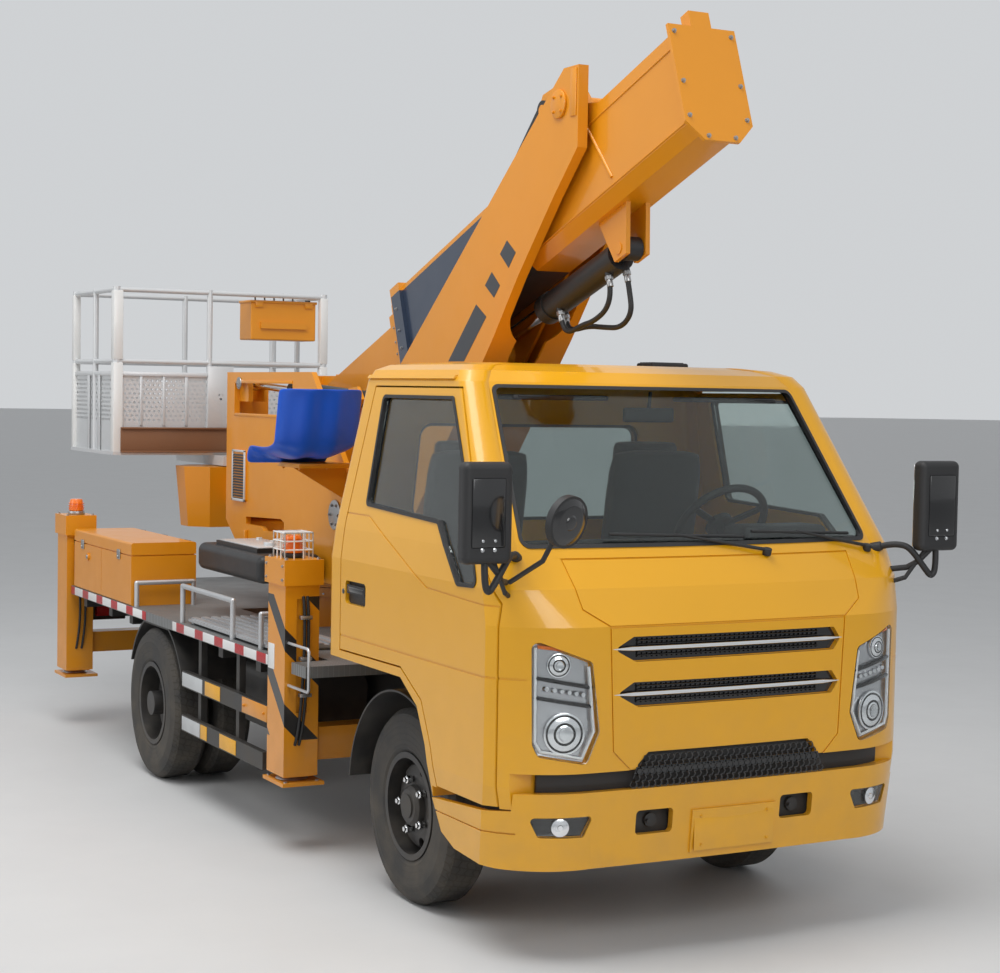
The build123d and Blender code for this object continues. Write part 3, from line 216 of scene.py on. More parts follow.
def material(name, colour, roughness=0.4, metal=0.0, coat=0.0, dust=0.3, variation=0.12, scale=300.0,
             grain=0.05):
    """A finish on the worn surface."""
    made = bpy.data.materials.new("dressed_" + name)
    made.use_nodes = True
    tree = made.node_tree
    shader = tree.nodes["Principled BSDF"].inputs
    worn = tree.nodes.new("ShaderNodeGroup")
    worn.node_tree = worn_surface
    wear = {"Color": (*colour, 1), "Dust": dust, "Variation": variation, "Roughness": roughness,
            "Grain Scale": scale, "Grain": grain}
    for label, value in wear.items():
        worn.inputs[label].default_value = value
    for from_label, to_label in (("Color", "Base Color"), ("Roughness", "Roughness"), ("Normal", "Normal")):
        tree.links.new(worn.outputs[from_label], shader[to_label])
    shader["Metallic"].default_value = metal
    shader["Coat Weight"].default_value = coat
    shader["Coat Roughness"].default_value = 0.06
    return made


def metres(x, y, z):
    """A point of the CAD layout, in millimetres from the front axle, as a point in this frame."""
    return Vector((x / 1000 + AXLE_X, y / 1000, z / 1000))


def fix(name, data, made, body):
    """Makes an object of a mesh or curve, in its finish, that rides on a body."""
    data.materials.append(made)
    item = bpy.data.objects.new(name, data)
    scene.collection.objects.link(item)
    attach(item, body)
    return item


def piece(name, mesh, made, body, angle=35):
    """Fixes a bmesh, smooth up to an angle between its faces."""
    bmesh.ops.recalc_face_normals(mesh, faces=mesh.faces)
    data = bpy.data.meshes.new(name)
    mesh.to_mesh(data)
    mesh.free()
    data.polygons.foreach_set("use_smooth", [True] * len(data.polygons))
    data.set_sharp_from_angle(angle=math.radians(angle))
    return fix(name, data, made, body)


def tube(name, points, radius, made, body, smooth=False):
    """A bent round tube along layout points, as a curve whose points carry the radius."""
    curve = bpy.data.curves.new(name, "CURVE")
    curve.dimensions = "3D"
    curve.bevel_depth = 1.0
    curve.bevel_resolution = 4
    curve.resolution_u = 10
    curve.use_fill_caps = True
    spline = curve.splines.new("NURBS" if smooth else "POLY")
    spline.points.add(len(points) - 1)
    for point, at in zip(spline.points, points):
        point.co = (*metres(*at), 1)
        point.radius = radius / 1000
    if smooth:
        spline.order_u = 3
        spline.use_endpoint_u = True
    return fix(name, curve, made, body)


def add_rod(mesh, a, b, radius, segments=16, end_radius=None, bevel=0.0):
    """A round bar between two layout points. Six segments make it a hexagon."""
    start, end = metres(*a), metres(*b)
    turn = (end - start).to_track_quat("Z", "Y").to_matrix().to_4x4()
    matrix = Matrix.Translation((start + end) / 2) @ turn
    made = bmesh.ops.create_cone(mesh, cap_ends=True, segments=segments, radius1=radius / 1000,
                                 radius2=(radius if end_radius is None else end_radius) / 1000,
                                 depth=(end - start).length, matrix=matrix)
    if bevel:
        faces = {face for vert in made["verts"] for face in vert.link_faces}
        edges = list({edge for face in faces if len(face.verts) == segments for edge in face.edges})
        bmesh.ops.bevel(mesh, geom=edges, offset=bevel / 1000, offset_type="OFFSET", segments=2, profile=0.5,
                        affect="EDGES", material=-1)


hose_rubber = material("hose_rubber", (0.014, 0.014, 0.014), 0.52, dust=0.05, scale=1200.0,
                       grain=0.3)
steel_bolt = material("steel_bolt", (0.42, 0.42, 0.42), 0.35, metal=0.9, dust=0.15,
                      variation=0.4, grain=0.10)
LUFF_EYE = Vector((280, 0, 2615))
LUFF_ANCHOR = Vector((-950, 0, 2200))
luff_way = (LUFF_ANCHOR - LUFF_EYE).normalized()
luff_down = Vector((-luff_way.z, 0, luff_way.x))
# Length in metres, then the route: distance from the eye, distance below the cylinder's centre line, y.
HOSES = {
    "luff_hose_long": (0.74, [
        (90, 62, 24), (90, 150, 24), (102, 235, 26), (200, 262, 28), (330, 212, 28),
        (430, 170, 26), (548, 146, 24), (600, 116, 24), (600, 62, 24)]),
    "luff_hose_short": (0.57, [
        (150, 62, -24), (150, 125, -24), (200, 186, -26), (310, 196, -28),
        (400, 178, -26), (515, 172, -24), (560, 128, -24), (560, 62, -24)]),
}
fittings = bmesh.new()
for name, (length, route) in HOSES.items():
    points = [LUFF_EYE + luff_way * run + luff_down * drop + Vector((0, y, 0)) for run, drop, y in route]
    hose = tube(name, points, 11.0, hose_rubber, "luff_barrel", smooth=True)
    hose.data.resolution_u = 24
    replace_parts(hose, "luff_hoses")
    metres(*points[0])
    for end in (points[0], points[-1]):
        add_rod(fittings, end - luff_down * 2, end + luff_down * 14, 17, 6)
        add_rod(fittings, end + luff_down * 14, end + luff_down * 44, 13.5, 16, bevel=2)
piece("hose_fittings", fittings, steel_bolt, "luff_barrel")

# Studio: a wide pale floor under the truck, a pale sky all round it and three soft round lamps.
# The sky is dimmer as a light than as a background, so that the truck's own colours hold.
FLOOR_HALF = 150.0
SKY_LIGHT, SKY_SEEN = (0.88, 0.91, 0.95, 1), (0.78, 0.80, 0.82, 1)
SKY_LIGHT_STRENGTH, SKY_SEEN_STRENGTH = 0.42, 0.80
floor_mesh = bmesh.new()
bmesh.ops.create_grid(floor_mesh, x_segments=1, y_segments=1, size=FLOOR_HALF)
floor_data = bpy.data.meshes.new("floor")
floor_mesh.to_mesh(floor_data)
floor_mesh.free()
floor = bpy.data.objects.new("floor", floor_data)
scene.collection.objects.link(floor)
floor.data.materials.append(material("floor_paint", (0.66, 0.66, 0.655), 0.55, dust=0.0,
                                     variation=0.08, scale=40.0, grain=0.02))

scene.world = bpy.data.worlds.new("studio")
scene.world.use_nodes = True
tree = scene.world.node_tree
rays = tree.nodes.new("ShaderNodeLightPath").outputs
seen = calc(tree, "MAXIMUM", rays["Is Camera Ray"],
            calc(tree, "MAXIMUM", rays["Is Glossy Ray"], rays["Is Transmission Ray"]))
sky = tree.nodes["Background"].inputs
feed(tree, sky["Color"], mixed(tree, seen, SKY_LIGHT, SKY_SEEN))
feed(tree, sky["Strength"], ramp(tree, seen, 0.0, 1.0, SKY_LIGHT_STRENGTH, SKY_SEEN_STRENGTH))


def area_lamp(name, at, aim, width, watts):
    """A round soft lamp that faces a point."""
    lamp = bpy.data.objects.new(name, bpy.data.lights.new(name, "AREA"))
    scene.collection.objects.link(lamp)
    lamp.location = at
    lamp.rotation_euler = (Vector(aim) - Vector(at)).to_track_quat("-Z", "Y").to_euler()
    lamp.data.shape = "DISK"
    lamp.data.size = width
    lamp.data.energy = watts


area_lamp("overhead", (2.0, -3.0, 9.0), (0.0, 0.0, 1.0), 6.0, 560)
area_lamp("front_fill", (9.0, -1.0, 4.5), (1.0, 0.0, 1.0), 4.0, 150)
area_lamp("side_fill", (-2.0, -10.0, 4.0), (-1.0, 0.0, 1.2), 5.0, 150)
scene.view_settings.view_transform = "Standard"

# Chassis: two pressed channel rails with crossmembers, in black paint that is dull and dusty below.
# The axle castings, knuckles and the engine are bare dark iron. All of it is the CAD's own shape.


def dress(made, *names):
    """Gives CAD nodes a finish in place of their plain one."""
    for name in names:
        nodes[name].data.materials.clear()
        nodes[name].data.materials.append(made)


black_paint = material("black_paint", (0.016, 0.016, 0.017), 0.45, dust=0.35, scale=220.0,
                       grain=0.10)
cast_dark = material("cast_dark", (0.030, 0.028, 0.026), 0.72, dust=0.7, scale=120.0, grain=0.5)
dress(black_paint, "chassis_frame", "tanks", "mudguards")
dress(cast_dark, "front_axle", "rear_axle", "power_unit", "steering_knuckle_left", "steering_knuckle_right")

# Wheels: narrow commercial tyres on five-stud steel rims, twin tyres at the rear.
# Moulded rubber with zigzag grooves and cross sipes on the tread, and fine rings on the side walls. The
# grooves and sipes are painted near black as shade inside them.
# The rims are pressed steel in dark paint, each held by five bright hexagon nuts on studs.
SIDES = ((-1, "right"), (1, "left"))
WHEEL_RADIUS, TREAD_FROM = 0.3875, 0.362
WHEELBASE = 2.8
GROOVE_PITCH, GROOVE_SHARE, SIPE_SHARE = 0.036, 0.22, 0.16
RINGS_PER_METRE = 42.0
GROOVE_PAINTED_SHADE = (0.004, 0.004, 0.004)


def recolour(made, mask, colour):
    """Mixes another colour in under a material's wear, where the mask is 1."""
    tree = made.node_tree
    worn = next(node for node in tree.nodes if node.type == "GROUP" and node.node_tree == worn_surface)
    socket = worn.inputs["Color"]
    first = socket.links[0].from_socket if socket.is_linked else tuple(socket.default_value)
    feed(tree, socket, mixed(tree, mask, first, (*colour, 1)))


def emboss(made, raised, strength, depth, keep_grain):
    """Raises a pattern, over the material's fine grain or in place of it."""
    tree = made.node_tree
    normal = tree.nodes["Principled BSDF"].inputs["Normal"]
    relief = tree.nodes.new("ShaderNodeBump")
    relief.inputs["Strength"].default_value = strength
    relief.inputs["Distance"].default_value = depth
    feed(tree, relief.inputs["Height"], raised)
    if keep_grain:
        tree.links.new(normal.links[0].from_socket, relief.inputs["Normal"])
    tree.links.new(relief.outputs["Normal"], normal)


for name, axle_x, tyres in (("front", AXLE_X, ("tyre_front_left", "tyre_front_right")),
                            ("rear", AXLE_X - WHEELBASE, ("tyres_rear_left", "tyres_rear_right"))):
    tyre_rubber = material("tyre_rubber_" + name, (0.020, 0.020, 0.021), 0.72, dust=0.45,
                           variation=0.3, scale=350.0, grain=0.25)
    tree = tyre_rubber.node_tree
    px, py, pz = axes(tree, surface_point(tree))
    dx, dz = px - axle_x, pz - WHEEL_RADIUS
    radius = calc(tree, "SQRT", dx * dx + dz * dz)
    turn = calc(tree, "ARCTAN2", dz, dx)
    wave = calc(tree, "PINGPONG", turn * 9.0, 0.5) * 0.022
    zigzag = ((py.size() + wave) / GROOVE_PITCH).fraction() < GROOVE_SHARE
    sipe = (turn * 11.0 + py * 9.0).fraction() < SIPE_SHARE
    groove = zigzag.most(sipe) * (radius > TREAD_FROM)
    rings = ((radius * RINGS_PER_METRE).fraction() < 0.22) * (radius < TREAD_FROM)
    # Painted shade: the grooves and sipes are only a bump, so they get a near black colour for the shade
    # inside them.
    recolour(tyre_rubber, groove, GROOVE_PAINTED_SHADE)
    emboss(tyre_rubber, 1.0 - groove.most(rings * 0.4), 0.9, 0.008, keep_grain=True)
    dress(tyre_rubber, *tyres)
rim_paint = material("rim_paint", (0.028, 0.028, 0.030), 0.42, metal=0.3, dust=0.35,
                     scale=200.0, grain=0.08)
dress(rim_paint, "rim_front_left", "rim_front_right", "rims_rear_left", "rims_rear_right")
chrome = material("chrome", (0.80, 0.81, 0.82), 0.10, metal=1.0, dust=0.0, variation=0.06,
                  scale=90.0, grain=0.01)
STUD_CIRCLE, STUDS = 104, 5
for wheel_x, disc_y, body in ((0, 781, "wheel_front"), (-2800, 834, "wheels_rear")):
    for side, name in SIDES:
        nuts = bmesh.new()
        for n in range(STUDS):
            angle = -math.radians((n + 0.5) * 360 / STUDS)
            x, z = wheel_x + STUD_CIRCLE * math.cos(angle), 387.5 + STUD_CIRCLE * math.sin(angle)
            add_rod(nuts, (x, side * disc_y, z), (x, side * (disc_y + 24), z), 17, 6, bevel=1.5)
            add_rod(nuts, (x, side * (disc_y + 22), z), (x, side * (disc_y + 34), z), 10, 12, bevel=1)
        piece("wheel_nuts_%s_%s" % (body, name), nuts, chrome, body + "_" + name)

# Cab: a welded sheet steel shell with its doors and bumper, in glossy yellow paint, trimmed with black
# moulded plastic. The windows are laminated glass with a faint green tint, bonded into the shell, and
# the headlamps' covers are clear plastic.
CAB_YELLOW = (0.78, 0.375, 0.004)
cab_paint = material("cab_paint", CAB_YELLOW, 0.34, coat=0.5, dust=0.18, variation=0.10,
                     scale=420.0, grain=0.02)
black_plastic = material("black_plastic", (0.018, 0.018, 0.019), 0.55, dust=0.10,
                         scale=900.0, grain=0.25)


def clear_sheet(name, first, second, ior):
    """Clear glass or plastic between two tints, with smears in its roughness."""
    made = bpy.data.materials.new(name)
    made.use_nodes = True
    tree = made.node_tree
    shader = tree.nodes["Principled BSDF"].inputs
    point = surface_point(tree)
    feed(tree, shader["Base Color"], mixed(tree, noise(tree, 3.0, 4.0, point), first, second))
    feed(tree, shader["Roughness"], ramp(tree, noise(tree, 14.0, 5.0, point), 0.4, 0.8, 0.005, 0.05))
    shader["Transmission Weight"].default_value = 1.0
    shader["IOR"].default_value = ior
    return made


window_glass = clear_sheet("window_glass", (0.62, 0.70, 0.68, 1), (0.70, 0.77, 0.76, 1), 1.45)
lamp_glass = clear_sheet("lamp_glass", (0.92, 0.94, 0.94, 1), (0.97, 0.98, 0.98, 1), 1.25)
dress(cab_paint, "cab_shell", "door_left", "door_right", "bumper")
dress(black_plastic, "cab_interior", "cab_trim", "door_trim_left", "door_trim_right")
dress(window_glass, "cab_glass", "door_glass_left", "door_glass_right")
dress(lamp_glass, "headlamps")

# Air slots: two openings in the cab's front, each closed by a black moulded insert of thin level bars
# and uprights, with a chrome strip that tapers at both ends clipped across its middle.
# The front bows gently between its two rounded corners, and every insert follows it.
FLAT_HALF, BOW = 590, 15.5
FRONT_X, CORNER_X, CORNER_Y, CORNER_RADIUS = 1048.5, 621.0, 582.4, 412.0


def front_x(y, z):
    """The forward distance of the cab's front skin, below the windscreen."""
    lean = min(0.0, z - 640.0) * 29 / 300
    if abs(y) < FLAT_HALF:
        return FRONT_X - BOW * (y / FLAT_HALF) ** 2 + lean
    return CORNER_X + math.sqrt(CORNER_RADIUS ** 2 - (abs(y) - CORNER_Y) ** 2) + lean


def add_skin(mesh, outline, depth, cuts=5, thickness=1.5):
    """A thin panel of (y, z) points that follows the cab's front at a depth behind its surface."""
    face = mesh.faces.new([mesh.verts.new((0, y / 1000, z / 1000)) for y, z in outline])
    bmesh.ops.triangulate(mesh, faces=[face])
    bmesh.ops.subdivide_edges(mesh, edges=list(mesh.edges), cuts=cuts, use_grid_fill=True)
    for vert in mesh.verts:
        y, z = vert.co.y * 1000, vert.co.z * 1000
        vert.co = metres(front_x(y, z) - depth, y, z)
    back = bmesh.ops.extrude_face_region(mesh, geom=list(mesh.faces))["geom"]
    verts = [item for item in back if isinstance(item, bmesh.types.BMVert)]
    bmesh.ops.translate(mesh, verts=verts, vec=(-thickness / 1000, 0, 0))


def add_block(mesh, x0, x1, y0, y1, z0, z1, bevel=0.0, segments=2):
    """A box between two layout corners, with its edges rounded."""
    low, high = metres(min(x0, x1), min(y0, y1), min(z0, z1)), metres(max(x0, x1), max(y0, y1), max(z0, z1))
    matrix = Matrix.Translation((low + high) / 2) @ Matrix.Diagonal((*(high - low), 1))
    made = bmesh.ops.create_cube(mesh, size=1.0, matrix=matrix)
    if bevel:
        edges = list({edge for vert in made["verts"] for edge in vert.link_edges})
        bmesh.ops.bevel(mesh, geom=edges, offset=bevel / 1000, offset_type="OFFSET", segments=segments,
                        profile=0.5, affect="EDGES", material=-1)


gloss_black = material("gloss_black", (0.010, 0.010, 0.011), 0.16, coat=0.6, dust=0.05,
                       grain=0.01)
BAR_DEPTH, BAR_RUN, UPRIGHT_PITCH = 13, 50, 21
SLOTS = {
    "upper": ([(-500, 1127), (-424, 1168), (466, 1167), (497, 1125), (466, 1086), (-413, 1083)], 1128, 510),
    "lower": ([(-487, 965), (-420, 1004), (461, 1001), (492, 962), (461, 921), (-399, 919)], 964, 500),
}
for name, (outline, strip_z, reach) in SLOTS.items():
    insert = bmesh.new()
    add_skin(insert, outline, 21)
    for bar_z in (strip_z - 26, strip_z - 13, strip_z + 13, strip_z + 26):
        for y0 in range(-8 * BAR_RUN, 8 * BAR_RUN, BAR_RUN):
            y1 = y0 + BAR_RUN
            add_rod(insert, (front_x(y0, bar_z) - BAR_DEPTH, y0, bar_z),
                    (front_x(y1, bar_z) - BAR_DEPTH, y1, bar_z), 2.6, 6)
    for y in range(-19 * UPRIGHT_PITCH, 20 * UPRIGHT_PITCH, UPRIGHT_PITCH):
        x = front_x(y, strip_z)
        add_block(insert, x - 20, x - 15, y - 1.5, y + 1.5, strip_z - 34, strip_z + 34)
    piece("grille_insert_" + name, insert, gloss_black, "truck")
    line = [(front_x(y, strip_z) - 1, y, strip_z) for y in range(-reach, reach + 1, 20)]
    strip = tube("grille_strip_" + name, line, 8.5, chrome, "truck")
    for point in strip.data.splines[0].points:
        from_end = reach / 1000 - abs(point.co.y)
        point.radius *= min(1.0, 0.15 + from_end / 0.09)

# Lower grille: an open honeycomb of black moulded plastic over the radiator, narrower at its top, with a
# smooth gloss band along its upper edge. Both are pressed into the panel above the bumper.
band = bmesh.new()
add_skin(band, [(-404, 700), (404, 700), (414, 674), (-414, 674)], -1.5)
piece("lower_grille_band", band, gloss_black, "truck")
honeycomb = bmesh.new()
CELL, GRILLE_FOOT, GRILLE_TOP = 15.0, 638, 748
for row in range(9):
    for column in range(-18, 19):
        y = column * CELL * math.sqrt(3) + (row % 2) * CELL * math.sqrt(3) / 2
        z = GRILLE_FOOT + row * CELL * 1.5
        reach = 425 - (z - GRILLE_FOOT) * 0.6
        if abs(y) > reach or z > GRILLE_TOP:
            continue
        upright = Matrix.Rotation(math.radians(90), 4, "Y")
        matrix = Matrix.Translation(metres(front_x(y, z) + 3, y, z)) @ upright
        bmesh.ops.create_circle(honeycomb, cap_ends=True, segments=6, radius=CELL / 1000, matrix=matrix)
bmesh.ops.remove_doubles(honeycomb, verts=honeycomb.verts, dist=0.004)
bmesh.ops.wireframe(honeycomb, faces=honeycomb.faces, thickness=0.006, use_even_offset=True, use_replace=True)
piece("lower_grille", honeycomb, gloss_black, "truck")

# Headlamps: behind each clear cover, a silvered bezel with two round bowls, their glass lenses, a row of
# small reflectors and a light guide round the rim. The turn lamp is an amber strip above the bowls, and
# a round fog lamp sits in a gloss surround in the bumper. Each cluster is one moulded unit, screwed in.
lamp_body = material("lamp_body", (0.80, 0.81, 0.83), 0.14, metal=0.9, dust=0.0,
                     variation=0.15, scale=180.0, grain=0.0)
lamp_shell = material("lamp_shell", (0.58, 0.59, 0.61), 0.20, metal=0.7, dust=0.0,
                      variation=0.10, grain=0.0)
light_guide = material("light_guide", (0.88, 0.89, 0.90), 0.25, coat=0.4, dust=0.0,
                       variation=0.03, grain=0.0)
orange_lens = material("orange_lens", (0.90, 0.20, 0.012), 0.18, coat=0.5, dust=0.02,
                       scale=260.0, grain=0.35)
BEZEL = [(797, 1160), (790, 800), (774, 757), (610, 727), (563, 838), (594, 1081)]
RIM = [(787, 1140), (784, 806), (767, 771), (620, 743), (576, 838), (600, 1070)]
TURN_LAMP = [(610, 1128), (780, 1148), (778, 1136), (612, 1116)]
FOG_SURROUND = [(796, 530), (766, 466), (609, 462), (574, 531)]
BOWLS = ((683, 832, 76, 27), (706, 1076, 44, 17))
FACING_AHEAD, FACING_ASIDE = 0.97, 0.24
for side, name in SIDES:
    bezel = bmesh.new()
    add_skin(bezel, [(side * y, z) for y, z in BEZEL], 27)
    piece("headlamp_bezel_" + name, bezel, lamp_shell, "truck")
    bright, dark, lenses = bmesh.new(), bmesh.new(), bmesh.new()
    for y, z, radius, lens_radius in BOWLS:
        centre = Vector((front_x(y, z) - 24, side * y, z))
        facing = Vector((FACING_AHEAD, side * FACING_ASIDE, 0))
        add_rod(bright, centre, centre + facing * 9, radius, 40, bevel=2)
        # Each further step of the bowl: its start and end, its two radii as shares of the bowl's, its sides.
        for step, from_x, to_x, wide, narrow, sides in (
                (dark, 8, 9.6, 0.90, 0.90, 40), (bright, 9, 15, 0.82, 0.60, 40),
                (dark, 14, 15.6, 0.54, 0.54, 32), (bright, 15, 18, 0.44, 0.36, 28)):
            add_rod(step, centre + facing * from_x, centre + facing * to_x, radius * wide, sides,
                    end_radius=radius * narrow)
        lens_at = Matrix.Translation(metres(front_x(y, z) - 10, side * y, z))
        bmesh.ops.create_uvsphere(lenses, u_segments=24, v_segments=12, radius=lens_radius / 1000,
                                  matrix=lens_at @ Matrix.Diagonal((0.5, 1, 1, 1)))
    for foot, rise in ((997, 0.19), (929, 0.18)):
        bar = [(front_x(y, foot) - 14, side * y, foot + (y - 600) * rise) for y in range(584, 789, 17)]
        for a, b in zip(bar, bar[1:]):
            add_rod(dark, a, b, 7.5, 10)
    for n in range(6):
        y, z = 618 + n * 26, 970 + n * 4.5
        x = front_x(y, 970)
        add_rod(bright, (x - 24, side * y, z), (x - 12, side * y, z), 11, 20, end_radius=8)
    guide = [(front_x(y, z) - 11, side * y, z) for y, z in RIM]
    tube("headlamp_guide_" + name, guide, 6.0, light_guide, "truck")
    piece("headlamp_bright_" + name, bright, lamp_body, "truck")
    piece("headlamp_rings_" + name, dark, gloss_black, "truck")
    piece("headlamp_lenses_" + name, lenses, lamp_glass, "truck")
    amber = bmesh.new()
    add_skin(amber, [(side * y, z) for y, z in TURN_LAMP], 14, cuts=3)
    piece("turn_lamp_" + name, amber, orange_lens, "truck")
    fog = bmesh.new()
    centre = Vector((front_x(690, 498) - 12, side * 690, 497))
    add_rod(fog, centre, centre + Vector((10, side * 3, 0)), 29, 32, end_radius=33, bevel=1.5)
    add_rod(fog, centre + Vector((4, 0, 0)), centre + Vector((14, side * 4, 0)), 14, 20, end_radius=9)
    piece("fog_lamp_" + name, fog, lamp_body, "truck")
    surround = bmesh.new()
    add_skin(surround, [(side * y, z) for y, z in FOG_SURROUND], 16, cuts=3)
    piece("fog_surround_" + name, surround, gloss_black, "truck")

# Bumper fittings: a blank sheet metal plate held by four hexagon screws, and two tow sockets, each a
# plastic cup with a steel pin across it, set behind the bumper's openings.


def add_bolt(mesh, at, way, size):
    """A washer, a hexagon head and a stud's end, standing on a surface."""
    at, way = Vector(at), Vector(way).normalized()
    add_rod(mesh, at, at + way * size * 0.16, size * 1.05, 16)
    add_rod(mesh, at + way * size * 0.16, at + way * size * 0.85, size * 0.86, 6)
    add_rod(mesh, at + way * size * 0.85, at + way * size * 1.1, size * 0.45, 10)


plate = bmesh.new()
add_block(plate, 1041, 1044, -150, 204, 372, 516, bevel=1.2)
for y in (-120, 174):
    for z in (392, 498):
        add_bolt(plate, (1044, y, z), (1, 0, 0), 6)
piece("blank_plate", plate, cab_paint, "truck")
sockets = bmesh.new()
for y, z in ((-317, 494), (314, 499)):
    add_block(sockets, 988, 992, y - 92, y + 92, z - 56, z + 56, bevel=1)
    add_rod(sockets, (992, y, z), (1008, y, z), 26, 24, bevel=2)
    add_rod(sockets, (1000, y - 18, z), (1022, y - 18, z), 7, 12)
piece("tow_sockets", sockets, black_plastic, "truck")

# Wipers: two pressed steel arms in black, each on a spindle below the windscreen, with a rubber blade
# that lies along the foot of the glass. The glass is raked and bowed, and the arms stand just off it.
SCREEN_FOOT, SCREEN_HEIGHT = 1465, 610


def screen_x(y, z):
    """The forward distance of the windscreen's outside."""
    t = (z - SCREEN_FOOT) / SCREEN_HEIGHT
    return (905 - 67 * (y / 795) ** 2) * (1 - t) + (455 - 50 * (y / 695) ** 2) * t


wipers = bmesh.new()
for pivot_y, tip_y in ((235, -430), (755, 190)):
    pivot = Vector((screen_x(pivot_y, 1448) + 6, pivot_y, 1452))
    add_rod(wipers, pivot - Vector((0, 0, 14)), pivot + Vector((8, 0, 12)), 17, 20, bevel=3)
    middle_y = (pivot_y + tip_y) / 2 - 60
    elbow = Vector((screen_x(middle_y, 1530) + 24, middle_y, 1522))
    add_rod(wipers, pivot + Vector((6, 0, 6)), elbow, 7, 10, end_radius=5)
    blade = [(screen_x(y, 1512) + 12, y, 1504 + 22 * (pivot_y - y) / (pivot_y - tip_y))
             for y in range(tip_y, pivot_y - 40, 45)]
    for a, b in zip(blade, blade[1:]):
        add_rod(wipers, a, b, 6, 8)
    add_rod(wipers, elbow, blade[len(blade) // 2 - 1], 6, 10)
piece("wipers", wipers, black_plastic, "truck")

# Mirrors: silvered glass in the back of each moulded head, under a gloss cover held by four screws, and a
# round dish at the front. Each head hangs on a bent black steel arm from the door pillar, with a boss at
# its root and two straight stays under it.
mirror_face = material("mirror_face", (0.86, 0.88, 0.90), 0.03, metal=1.0, dust=0.0,
                       variation=0.03, grain=0.0)
MIRROR_ARM = ((846, 806, 1443), (880, 830, 1460), (930, 872, 1466), (958, 900, 1450), (976, 960, 1368),
              (982, 986, 1338), (986, 1004, 1372), (982, 1003, 1452))
DISH = Vector((1200, -805, 1600))
dish_way = Vector((0.93, 0.3, -0.2)).normalized()
round_glass = bmesh.new()
add_rod(round_glass, DISH - dish_way * 15, DISH - dish_way * 12.5, 82, 40, end_radius=84)
piece("round_mirror_glass", round_glass, mirror_face, "truck")
covers, cover_bolts, stays = bmesh.new(), bmesh.new(), bmesh.new()
add_rod(covers, DISH + dish_way * 13, DISH + dish_way * 22, 84, 40, end_radius=58, bevel=3)
add_rod(covers, DISH + dish_way * 20, DISH + dish_way * 27, 30, 24, end_radius=22, bevel=2)
for side, name in SIDES:
    mirror_glass = bmesh.new()
    add_block(mirror_glass, 941, 946, side * 918, side * 1085, 1456, 1780, bevel=2.4)
    piece("mirror_glass_" + name, mirror_glass, mirror_face, "truck")
    add_block(covers, 1008, 1016, side * 940, side * 1070, 1500, 1740, bevel=6, segments=3)
    for y in (980, 1028):
        for z in (1492, 1524):
            add_bolt(cover_bolts, (1013, side * y, z), (1, 0, 0), 7)
    arm = [(x, side * y, z) for x, y, z in MIRROR_ARM]
    tube("mirror_arm_" + name, arm, 12.5, black_plastic, "truck", smooth=True)
    add_rod(stays, (822, side * 788, 1436), (872, side * 824, 1457), 25, 20, end_radius=18, bevel=3)
    add_rod(stays, (872, side * 852, 1362), (929, side * 908, 1374), 11.5, 16)
    add_rod(stays, (900, side * 862, 1318), (935, side * 896, 1335), 9, 12)
piece("mirror_covers", covers, gloss_black, "truck")
piece("mirror_cover_bolts", cover_bolts, chrome, "truck")
piece("mirror_stays", stays, black_plastic, "truck")

# Door locks and roof vent: each door handle carries a round lock and a raised grip in gloss plastic.
# The vent is a low moulded hood with five louvres, bonded to the roof.
for side, name in SIDES:
    locks = bmesh.new()
    add_rod(locks, (-405, side * 922, 1208), (-405, side * 928, 1208), 11, 20, bevel=1.5)
    add_block(locks, -362, -212, side * 919, side * 926, 1211, 1233, bevel=3)
    piece("door_lock_" + name, locks, gloss_black, "door_" + name)
vent = bmesh.new()
add_block(vent, -60, 70, 250, 430, 2146, 2168, bevel=9, segments=3)
for x in range(-50, 60, 22):
    add_block(vent, x, x + 10, 262, 418, 2166, 2171, bevel=1.5)
piece("roof_vent", vent, black_plastic, "truck")

# Seats: foam cushions, backs and head rests in dark woven cloth, drawn in at the rim and sewn into
# channels across, each on a moulded box screwed to the cab floor. They are modelled as subdivided pads.
seat_cloth = material("seat_cloth", (0.045, 0.046, 0.050), 0.86, dust=0.0, variation=0.2,
                      scale=1500.0, grain=0.5)
seat_cloth.node_tree.nodes["Principled BSDF"].inputs["Sheen Weight"].default_value = 0.35
CROWN, CORNER_PULL, CHANNEL_DEPTH = 0.30, 0.055, 0.045
BACK_LEAN = -80.0


def pad(name, centre, size, lean, channels):
    """A crowned cushion: thick in the middle, drawn in at its rim, with channels across it."""
    mesh = bmesh.new()
    bmesh.ops.create_cube(mesh, size=1.0)
    bmesh.ops.subdivide_edges(mesh, edges=mesh.edges, cuts=15, use_grid_fill=True)
    for vert in mesh.verts:
        u, v, w = vert.co * 2
        crown = (1 - CROWN * abs(u) ** 5) * (1 - CROWN * abs(v) ** 5)
        corner = 1 - CORNER_PULL * (u * u * v * v) ** 2
        dent = CHANNEL_DEPTH * max(0.0, math.cos(math.pi * channels * u)) ** 14 if w > 0 else 0.0
        narrow_u, narrow_v = corner * (1 - 0.05 * w * w), corner * (1 - 0.04 * w * w)
        vert.co = Vector((u * narrow_u, v * narrow_v, w * (crown - dent))) / 2
    scaled = Matrix.Diagonal((size[0] / 1000, size[1] / 1000, size[2] / 1000, 1))
    turn = Matrix.Rotation(math.radians(lean), 4, "Y")
    bmesh.ops.transform(mesh, matrix=Matrix.Translation(metres(*centre)) @ turn @ scaled, verts=mesh.verts)
    cushion = piece(name, mesh, seat_cloth, "truck", angle=70)
    return cushion


